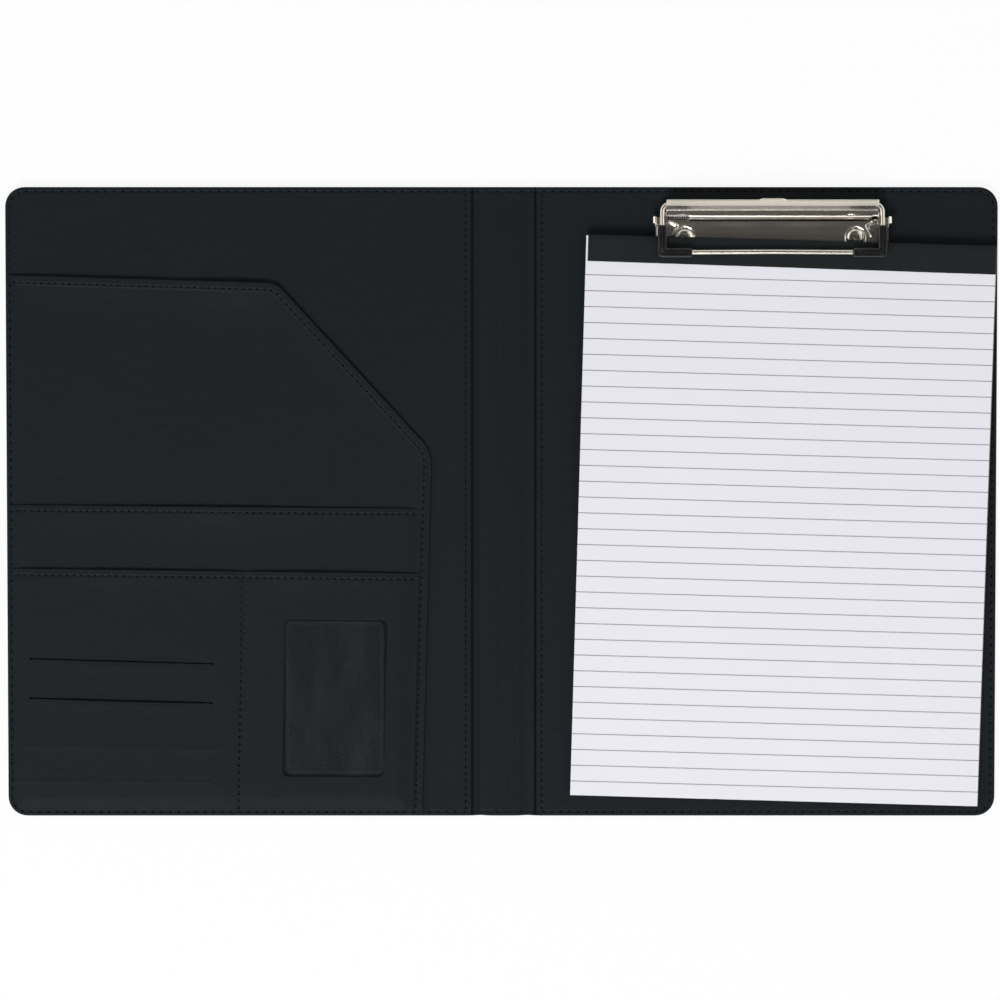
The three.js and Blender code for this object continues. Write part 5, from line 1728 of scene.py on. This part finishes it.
@dataclass
class Clip:
    """The clip: base plate and barrel, rivets and pin on the back panel, the rest on the jaw.

    Its own frame has X from the middle, Y from the pin to the folder's top edge and Z from the lining."""

    place: Spot = (138.6, 147.8, TOP)
    plate_half: float = 59.8
    plate_front: float = -16.8
    plate_rear: float = -2.4
    plate: float = 0.9
    plate_corner: float = 2.99
    rim: float = 0.5
    chevron: tuple[Pair, ...] = ((6.2, 0.4), (11.4, 3.2), (8.8, 8.2))
    barrel: Pair = (-42.2, 51.0)
    barrel_r: float = 1.75
    pin_z: float = 2.2
    rivets: Pair = (-44.7, 42.9)
    rivet_y: float = -11.5
    lever_half: float = 54.3
    sheet: float = 0.9
    lip: tuple[float, float, float] = (0.4, 2.6, 5.15)
    flange: float = 7.0
    slope: float = radians(46)
    thumb: Pair = (7.0, 0.9)
    wire: float = 1.3
    play: float = 0.3
    leg: float = 56.4
    bar_y: float = -19.3
    bar_z: float = 8.338
    level: float = -9.8
    leg_slope: float = -0.23276
    hook: tuple[float, float, float] = (9.4, 5.4, 4.8)
    spring: tuple[float, float, float, float] = (0.35, 1.65, 1.2, 8.125)

    def add(self, name: str, surface: Surface, finish: Finish, slot: str, body: str, node: str) -> Piece:
        """Makes a piece of the clip in its place and lets it ride on a body."""
        piece = make(name, surface.moved(np.eye(3), self.place), finish)
        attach(piece, body)
        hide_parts(node)
        return piece

    def leg_height(self, y: Array) -> Array:
        """Returns the height of a leg's middle: level in front, sloping down behind."""
        return self.bar_z + self.leg_slope * np.maximum(0, y - self.level)

    def base(self) -> None:
        """Builds the base plate with its rims, bent ridges and rivet hollows, and the rolled barrel.

        Height is the sheet plus plateaus for the rims and a bell about each line of the ridges.
        """
        half = self.plate_half
        ridges = np.concatenate([np.arange(44.8, 56, 0.45), [58.6, 58.9, 59.1, 59.3, 59.5, 59.65, 59.8]])
        near = np.concatenate([r + np.arange(-6.3, 6.4, 0.45) for r in self.rivets])
        lines_x = spaced([np.linspace(-44, 44, 40), ridges, -ridges, near, [-half, half]], (-half, half), 0.1)
        lines_y = edge_lines(self.plate_front, self.plate_rear, 0.5, (0, 0.08, 0.2, 0.45, 0.8))
        u, v = net(lines_x, lines_y)
        ends = ((self.plate_front, -1), (self.plate_rear, 1))
        x, y = round_corners(u, v, both_ways(half), ends, self.plate_corner)
        inset = np.minimum(half - np.abs(u), np.minimum(v - self.plate_front, self.plate_rear - v))
        straight = smooth(v, -13.9, -13.1) * (1 - smooth(v, -6.1, -5.3))
        rims = self.rim * smooth(np.abs(u), half - 1.1, half - 0.75) * straight
        top = self.plate - edge_drop(inset, 0.25) + rims
        line = np.array([(half - a, self.plate_rear - b) for a, b in self.chevron])
        for a, b in zip(line[:-1], line[1:]):
            span = b - a
            share = np.clip(((np.abs(x) - a[0]) * span[0] + (y - a[1]) * span[1]) / (span @ span), 0, 1)
            away = np.hypot(np.abs(x) - a[0] - share * span[0], y - a[1] - share * span[1])
            top = np.maximum(top, self.plate + self.rim * bump(away, 0, 0.55))
        for r in self.rivets:
            top = top - 0.3 * bump(np.hypot(x - r, y - self.rivet_y), 4.95, 0.42)
        top = top - 0.06 * (1 - ripple(x, y, 26, 51)) * smooth(inset, 1, 4)
        plate = grid_solid(stacked(x, y, top), stacked(x, y, 0.0))
        angle = np.radians(np.linspace(-90, 180, 40))
        roll = self.barrel_r * np.stack([np.cos(angle), np.sin(angle)], -1) + [0, self.pin_z]
        line = np.concatenate([[[-3.3, 0.45], [-2.0, 0.45], [-1.0, 0.45]], roll])
        left, right = self.barrel
        stations = np.concatenate([[left, left + 0.15], np.linspace(-41.5, 50.3, 50), [right - 0.15, right]])
        sag = 0.012 * ripple(stations, stations * 0, 18, 52)[:, None, None]
        loops = bent(line, self.plate)[None] * (1 + sag * np.array([1, 0]))
        loops[[0, -1]] = loops[[0, -1]] * [0.97, 0.99] + [0, 0.02]
        surface = plate.joined(section_solid(stations, loops))
        self.add("base_plate", surface, NICKEL, "nickel", "back_panel", "clip_base_plate")

    def fasteners(self) -> None:
        """Builds the two rivets, domes whose height falls as an ellipse, and the pin with its heads."""
        share = np.linspace(0, 1, 12)
        dome = [(4.4 * cos(0.5 * pi * s), self.plate + 0.12 + 1.38 * sin(0.5 * pi * s)) for s in share[:-1]]
        collar = self.plate - 0.05
        stem = [(0, -3.2), (3.3, -3.2), (3.5, -3.0), (3.5, -2.5), (2, -2.4), (2, collar), (4.2, collar)]
        for name, x in zip(("left", "right"), self.rivets):
            turned_up = turned([*stem, *dome, (0, self.plate + 1.5)], (x, self.rivet_y, 0), (0, 0, 1), 48)
            self.add(f"dome_rivet_{name}", turned_up, BRIGHT, "nickel", "back_panel", f"rivet_{name}")
        head = [(0, 0.6), (1.1, 0.6), (1.45, 0.45), (1.6, 0.2), (1.6, 0.05), (1.5, 0)]
        shaft = [(1, -54.78), (1, 54.78)]
        profile = [(r, -54.8 - h) for r, h in head] + shaft + [(r, 54.8 + h) for r, h in head[::-1]]
        pin = turned(profile, (0, 0, self.pin_z), (1, 0, 0), 28)
        self.add("pivot_pin", pin, STEEL, "steel", "back_panel", "clip_pin")

    def lever(self) -> None:
        """Builds the lever: lip and flange from one bent section whose flange grows at the thumb tab,
        and at each end an upright ear with a curled cradle under the bail's leg."""
        half = self.lever_half
        fine = np.array([0, 0.1, 0.3, 0.6, 1.0, 1.5])
        tab = np.concatenate([-np.linspace(8.2, 4.4, 14), [0], np.linspace(4.4, 8.2, 14)])
        stations = spaced([-half + fine, np.linspace(-50, 50, 41), half - fine, tab], (-half, half), 0.08)
        reach = self.flange + self.thumb[1] * (1 - smooth(np.abs(stations), 5.0, 7.2))
        corner = np.clip(0.6 - (half - np.abs(stations)), 0, 0.6)
        reach = reach - (0.6 - np.sqrt(0.6**2 - corner**2)) + 0.02 * ripple(stations, stations * 0, 30, 55)
        front, rear, z = self.lip
        bend = np.linspace(0, self.slope, 8)[:, None]
        r = 0.8
        cut = r * tan(self.slope / 2)
        flat = np.array([[front, z], [front + 0.8, z]])
        curve = np.array([rear - cut, z]) + r * np.concatenate([np.sin(bend), 1 - np.cos(bend)], 1)
        run = np.linspace(0.12, 1, 7)[None, :, None] * (reach[:, None, None] - cut)
        out = np.array([cos(self.slope), sin(self.slope)])
        rise = curve[-1] + run * out
        fixed = at_stations(np.concatenate([flat, curve]), len(stations))
        lines = np.concatenate([fixed, rise], 1)
        loops = np.stack([bent(line, self.sheet) for line in lines])
        surface = section_solid(stations, loops)
        for side in (-1, 1):
            surface = surface.joined(self.ear(side), self.cradle(side))
        piece = self.add("lever", surface, LEVER_PAINTED_HIGHLIGHT_NICKEL, "nickel", "clip_jaw", "clip_lever")
        soften(piece, 0.12)

    def ear(self, side: int) -> Surface:
        """Shapes an ear: a flat plate whose outline runs round the eye, under the lip and along the leg.

        Args:
            side: 1 for the right ear, -1 for the left one.

        Returns:
            The closed surface.
        """
        eye, low, high = 1.9, self.wire + self.play + self.sheet, self.wire - self.play
        angle = np.radians(np.linspace(180, 360, 14))
        edge = lambda y, off: [y, float(self.leg_height(np.array(y))) + off]
        loop = np.array([
            edge(-4.4, -low), edge(-eye, -low),
            *np.stack([eye * np.cos(angle[1:]), self.pin_z + eye * np.sin(angle[1:])], -1).tolist(),
            [eye, self.lip[2]], [self.lip[0], self.lip[2] + self.sheet / 2],
            edge(-1.0, high), edge(-4.4, high),
        ])
        faces = np.sort(side * np.array([53.6, 54.5]))
        return section_solid(faces, loop)

    def cradle(self, side: int) -> Surface:
        """Shapes a cradle: a strip under the leg whose outer end curls up, carried along the leg.

        Args:
            side: 1 for the right cradle, -1 for the left one.

        Returns:
            The closed surface.
        """
        floor = -self.wire - self.play - self.sheet / 2
        middle = 1.25
        angle = np.radians(np.linspace(-90, 90, 12))
        bend = self.wire + self.play + 1.7
        curl = np.stack([bend + middle * np.cos(angle), floor + middle + middle * np.sin(angle)], -1)
        line = np.concatenate([[[-2.35, floor], [-0.5, floor], [1.6, floor]], curl])
        loop = bent(line, self.sheet)
        steps = np.array([-1.7, -1.55, 0, 1.55, 1.7])
        lean = atan(self.leg_slope)
        centre = np.array([0, -2.7, float(self.leg_height(np.array(-2.7)))])
        across = side * loop[:, 0]
        rows = np.stack([np.stack([across, np.full(len(loop), s), loop[:, 1]], -1) for s in steps[::-side]])
        turn = np.array([[1, 0, 0], [0, cos(lean), -sin(lean)], [0, sin(lean), cos(lean)]])
        return loop_solid(rows @ turn.T + centre + [side * self.leg, 0, 0])

    def bail(self) -> None:
        """Builds the wire bail: a round wire through hooked ends, legs and a front bar bowed back."""
        length, y, z = self.hook
        half = self.leg
        left = [(length - half, y, z), (-half, y, z, 3.9), (-half, self.level, self.bar_z, 34.5),
                (-half, self.bar_y, self.bar_z, 4)]
        right = [(-s[0], *s[1:]) for s in left[::-1]]
        path = route([*left, (0, self.bar_y + 0.7, self.bar_z, 3200), *right], 6)
        wire = tube(dense(path, 1.1), self.wire, 24, dome=0.8)
        self.add("bail", wire, NICKEL, "nickel", "clip_jaw", "wire_bail")

    def tip(self, side: int) -> Surface:
        """Shapes a corner tip: an L-shaped outline carried up as rings, rounded at its edges, ribbed on top.

        Each ring is the outline moved inwards by the first number and lifted by the second.

        Args:
            side: 1 for the right tip, -1 for the left one.

        Returns:
            The closed surface.
        """
        wall, tail, head = 2.4, -5.1, self.leg - 15.4
        outer, inner = self.leg + wall, self.leg - wall
        front, back = self.bar_y - wall, self.bar_y + wall
        corners = [(head, front, 1.1), (outer, front, wall), (outer, tail, 1.1), (inner, tail, 1.1),
                   (inner, back, 0), (head, back, 1.1)]
        line, mitre = outline(corners, 0.7)
        if side < 0:
            line, mitre = (values[::-1] * [-1, 1] for values in (line, mitre))
        below = [(1.05, -2.1), (0.5, -2.0), (0.18, -1.75), (0.02, -1.3), (0, -0.8)]
        above = [(0, 0.6), (0.04, 1.2), (0.2, 1.7), (0.5, 2.0), (0.72, 2.08), (0.86, 1.92), (1.02, 1.92)]
        ribs = [(1.14, 2.1), (1.4, 2.1), (1.54, 1.92), (1.7, 1.92), (1.84, 2.1)]
        shape = np.array(below + above + ribs)
        plan = line + mitre * np.minimum(shape[:, :1], 0.99 * wall)[:, None]
        height = self.leg_height(plan[..., 1]) + shape[:, 1:2]
        return loop_solid(np.concatenate([plan, height[..., None]], -1))

    def coil(self) -> None:
        """Builds the lever's spring: a helix about the pin with a leg under the lip and one to the plate."""
        wire, radius, pitch, turns = self.spring
        angle = np.linspace(0, 2 * pi * turns, 230)
        start = -52.775
        across = start + pitch * angle / (2 * pi)
        ring = np.stack([across, -radius * np.sin(angle), self.pin_z + radius * np.cos(angle)], -1)
        ahead = ring[0] + np.stack([np.zeros(5), np.linspace(2.6, 0.4, 5), np.zeros(5)], -1)
        drop = ring[-1][2] - self.plate - 0.3 - wire
        down = ring[-1] + np.linspace(0.15, 1, 5)[:, None] * np.array([0, -drop, -drop])
        path = np.concatenate([ahead, ring, down])
        out = unit(path - np.stack([path[:, 0], path[:, 0] * 0, np.full(len(path), self.pin_z)], -1))
        self.add("torsion_spring", tube(path, wire, 10, out), STEEL, "steel", "clip_jaw", "lever_spring")

    def build(self) -> None:
        """Builds the whole clip."""
        self.base()
        self.fasteners()
        self.lever()
        self.bail()
        for side, name in ((-1, "left"), (1, "right")):
            self.add(f"tip_{name}", self.tip(side), TIP, "tip", "clip_jaw", f"corner_tip_{name}")
        self.coil()


@dataclass
class Pad:
    """The writing pad, turned a little under the clip. Its own frame has X across, Y to the head and Z up."""

    width: float = 210.0
    length: float = 289.0
    place: Spot = (144.4, -9.4, 6.144)
    turn: float = radians(-1.6)
    lean: float = radians(0.57257)
    depth: Pair = (13.6, 14.8)
    hinge: Spot = (148.0, 119.4658, 10.1825)
    away: Spot = (-0.0360121, -0.9993513, 0.0)

    def matrix(self) -> Array:
        """Returns the pad's rotation: leaned about X, then turned about Z."""
        c, s = cos(self.turn), sin(self.turn)
        ca, sa = cos(self.lean), sin(self.lean)
        return np.array([[c, -s, 0], [s, c, 0], [0, 0, 1]]) @ np.array([[1, 0, 0], [0, ca, -sa], [0, sa, ca]])

    def add(self, name: str, surface: Surface, finish: Finish, slot: str, node: str) -> Piece:
        """Makes a piece of the pad in its place."""
        piece = make(name, surface.moved(self.matrix(), self.place), finish)
        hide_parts(node)
        return piece

    def tape_edge(self, x: Array) -> Array:
        """Returns the lower edge of the tape on the pad's face: a slanting line."""
        share = x / self.width + 0.5
        return self.length / 2 - self.depth[0] - (self.depth[1] - self.depth[0]) * share

    def first_line(self) -> float:
        """Returns the place of the uppermost ruled line, a little under the tape."""
        return float(self.tape_edge(np.array(0.0))) - 6.5

    def layer(
        self, name: str, faces: Pair, sides: Spot, finish: Finish, slot: str, node: str, wave: float
    ) -> None:
        """Builds a flat layer of the pad.

        Args:
            name: The piece's name.
            faces: Heights of its lower and its upper face.
            sides: How far its left, right and head edges stand back from the pad's.
            finish: Its finish.
            slot: A material slot's name; not used.
            node: The CAD node that it stands for.
            wave: Height of its slow waves.
        """
        fine = (0, 0.1, 0.3, 0.8, 2.0)
        left, right = sides[0] - self.width / 2, self.width / 2 - sides[1]
        foot, head = -self.length / 2, self.length / 2 - sides[2]
        x, y = net(edge_lines(left, right, 8, fine), edge_lines(foot, head, 9, fine))
        inset = np.minimum(np.minimum(x - left, right - x), np.minimum(y - foot, head - y))
        top = faces[1] - edge_drop(inset, 0.12) - wave * (1 - ripple(x, y, 70, 61))
        surface = grid_solid(stacked(x, y, top), stacked(x, y, faces[0] + 0.4 * edge_drop(inset, 0.12)))
        piece = self.add(name, surface, finish, slot, node)
        note(piece, "page", surface.points * MM)
        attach(piece, "pad")

    def top_sheet(self) -> None:
        """Builds the top sheet: a thin sheet under the tape, with slow waves and lifted lower corners.

        It bends between the pad and the turned page just below the tape."""
        side, low, head = self.width / 2 - 0.1, 0.2 - self.length / 2, self.length / 2 - 0.7
        finer = np.linspace(118.6, 131.5, 34)
        lines_y = np.concatenate([np.linspace(low, 118, 60), finer, np.linspace(133, head, 8)])
        x, y = net(edge_lines(-side, side, 5, (0, 0.2, 1.0)), lines_y)
        free = 1 - smooth(y, 108, 126)
        wave = 0.16 * ripple(x, y, 110, 62) * free
        corners = 0.5 * smooth(np.abs(x), 70, 105) * (1 - smooth(y, -144, -110))
        curl = corners + 0.18 * (1 - smooth(y, low, -130))
        height = 2.3 + 0.24 * free + wave + curl * free
        surface = grid_solid(stacked(x, y, height + 0.11), stacked(x, y, height))
        piece = self.add("ruled_top_sheet", surface, Ruled(first=self.first_line()), "paper", "pad_top_sheet")
        note(piece, "page", surface.points * MM)
        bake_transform(piece)

    def tape(self) -> None:
        """Builds the binding tape: a bent strip over the face, round the head and down the back."""
        stations = np.concatenate([[-104, -103.9], np.linspace(-103.4, 104.4, 90), [104.9, 105]])
        edge = self.tape_edge(stations) + 0.07 * ripple(stations, stations * 0, 9, 63)
        head = self.length / 2 - 0.125
        angle = np.radians(np.linspace(90, -90, 12))
        centre, r = 1.12, 1.5
        bow = np.stack([head - 0.7 + 0.7 * np.cos(angle), centre + r * np.sin(angle)], -1)
        share = np.array([0, 0.02, 0.1, 0.3, 0.55, 0.8])[None, :, None]
        start = np.stack([edge, np.full(edge.shape, 2.6)], -1)[:, None]
        face = start + (bow[0] - start) * share
        back = np.stack([np.linspace(head - 2, head - 11.9, 4), np.full(4, centre - r)], -1)
        round_head = at_stations(np.concatenate([bow, back]), len(stations))
        lines = np.concatenate([face, round_head], 1)[:, ::-1]
        loops = np.stack([bent(line, 0.23) for line in lines])
        piece = self.add("binding_tape", section_solid(stations, loops), Tape(), "tape", "pad_binding_tape")
        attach(piece, "pad")

    def build(self) -> None:
        """Builds the pad's layers, its top sheet and its tape, and dresses the staples."""
        self.layer("backing_card", (0.0, 0.6), (0.1, -0.5, 0.55), CARD, "card", "pad_backing_card", 0.0)
        block = Ruled("ruled block", face=2.05, first=self.first_line())
        self.layer("sheet_block", (0.85, 2.22), (0.0, 0.1, 0.6), block, "paper", "pad_sheets", 0.02)
        self.top_sheet()
        self.tape()
        for side in ("left", "right"):
            dress(f"pad_staple_{side}", STEEL)


@dataclass
class Studio:
    """Pale floor, soft light from the lower edge and the camera nearly overhead."""

    frame_width: float = 514.4
    distance: float = 2600.0
    tilt: float = radians(3.4)
    aside: Pair = (-0.75, 1.3)
    ambient: float = 0.32
    lamps: tuple[tuple[str, Spot, float, float], ...] = (
        ("key", (-0.5, -1.7, 2.3), 1.2, 58.0),
        ("fill", (1.5, 0.7, 1.5), 1.6, 6.0),
        ("side", (-1.7, 0.5, 1.2), 1.6, 5.0),
    )

    def camera(self) -> None:
        """Adds the camera: it looks down at the origin, tilted towards the lower edge."""
        data = bpy.data.cameras.new("camera")
        data.sensor_width = 36
        data.lens = 36 * self.distance / self.frame_width
        eye = bpy.data.objects.new("camera", data)
        across, up = self.aside
        reach = self.distance * sin(self.tilt) + up
        eye.location = (across * MM, reach * MM, (self.distance * cos(self.tilt) + 4) * MM)
        eye.rotation_euler = (-self.tilt, 0, 0)
        bpy.context.scene.collection.objects.link(eye)
        bpy.context.scene.camera = eye

    def lights(self) -> None:
        """Adds square lamps aimed at the folder and an even pale world."""
        for name, place, size, watts in self.lamps:
            data = bpy.data.lights.new(name, "AREA")
            data.size = size
            data.energy = watts
            lamp = bpy.data.objects.new(name, data)
            lamp.location = place
            aim = unit(-np.array(place))
            lamp.rotation_euler = (float(np.arccos(-aim[2])), 0, float(np.arctan2(aim[0], -aim[1]) + pi))
            bpy.context.scene.collection.objects.link(lamp)
        self.world()

    def world(self) -> None:
        """Adds the even pale world: white behind the folder, with a dim ceiling that only gloss shows."""
        desk = Desk("studio", world=True)
        bpy.context.scene.world = desk.material
        seen, glossy, through = desk.rays("Camera", "Glossy", "Transmission")
        way = desk.tap("ShaderNodeTexCoord", {}, {}, "Generated")
        _, _, up = desk.parts(way)
        patches = desk.tap("ShaderNodeTexNoise", {}, {"Vector": way, "Scale": 5.0, "Detail": 2.0})
        dim = up.step(0.62, 0.86) * (0.97 - patches.step(0.45, 0.7) * 0.22)
        level = seen.maths("MAXIMUM", seen, through)
        level = level.maths("MAXIMUM", level, glossy * (1 - dim))
        strength = self.ambient + level * (1 - self.ambient)
        strength = strength - glossy * dim * self.ambient
        ground = desk.tap("ShaderNodeBackground", {}, {"Color": (1, 1, 1, 1), "Strength": strength})
        desk.node("ShaderNodeOutputWorld", {}, {"Surface": ground})

    def floor(self) -> None:
        """Adds the pale floor, drawn mostly white to the camera while it keeps a soft shadow."""
        grid = np.array([(-4, -4, 0), (4, -4, 0), (4, 4, 0), (-4, 4, 0)], float) - [0, 0, 0.0002]
        mesh = bpy.data.meshes.new("floor")
        mesh.from_pydata(grid.tolist(), [], [[0, 1, 2, 3]])
        floor = bpy.data.objects.new("floor", mesh)
        bpy.context.scene.collection.objects.link(floor)
        desk = Desk("floor")
        seen, glossy, through = desk.rays("Camera", "Glossy", "Transmission")
        drawn = seen + glossy + through
        matt = desk.tap("ShaderNodeBsdfDiffuse", {}, {"Color": (0.96, 0.96, 0.96, 1)})
        white = desk.tap("ShaderNodeEmission", {}, {"Color": (1, 1, 1, 1), "Strength": 1.0})
        share = seen.maths("MINIMUM", drawn, 1.0) * 0.9
        mixed = desk.tap("ShaderNodeMixShader", {}, {0: share, 1: matt, 2: white})
        desk.node("ShaderNodeOutputMaterial", {}, {"Surface": mixed})
        mesh.materials.append(desk.material)

    def build(self) -> None:
        """Builds the studio."""
        bpy.context.scene.view_settings.view_transform = "Standard"
        self.camera()
        self.lights()
        self.floor()


def write_size() -> None:
    """Updates the view layer."""
    bpy.context.view_layer.update()


def main() -> None:
    """Builds the studio and every part of the folder."""
    logging.basicConfig(level=logging.INFO, format="%(name)s %(message)s")
    for assembly in (Studio(), Cover(), Linings(), Pockets(), Clip(), Pad()):
        log.info("building %s", type(assembly).__name__)
        assembly.build()
    write_size()


if __name__ == "__main__":
    main()
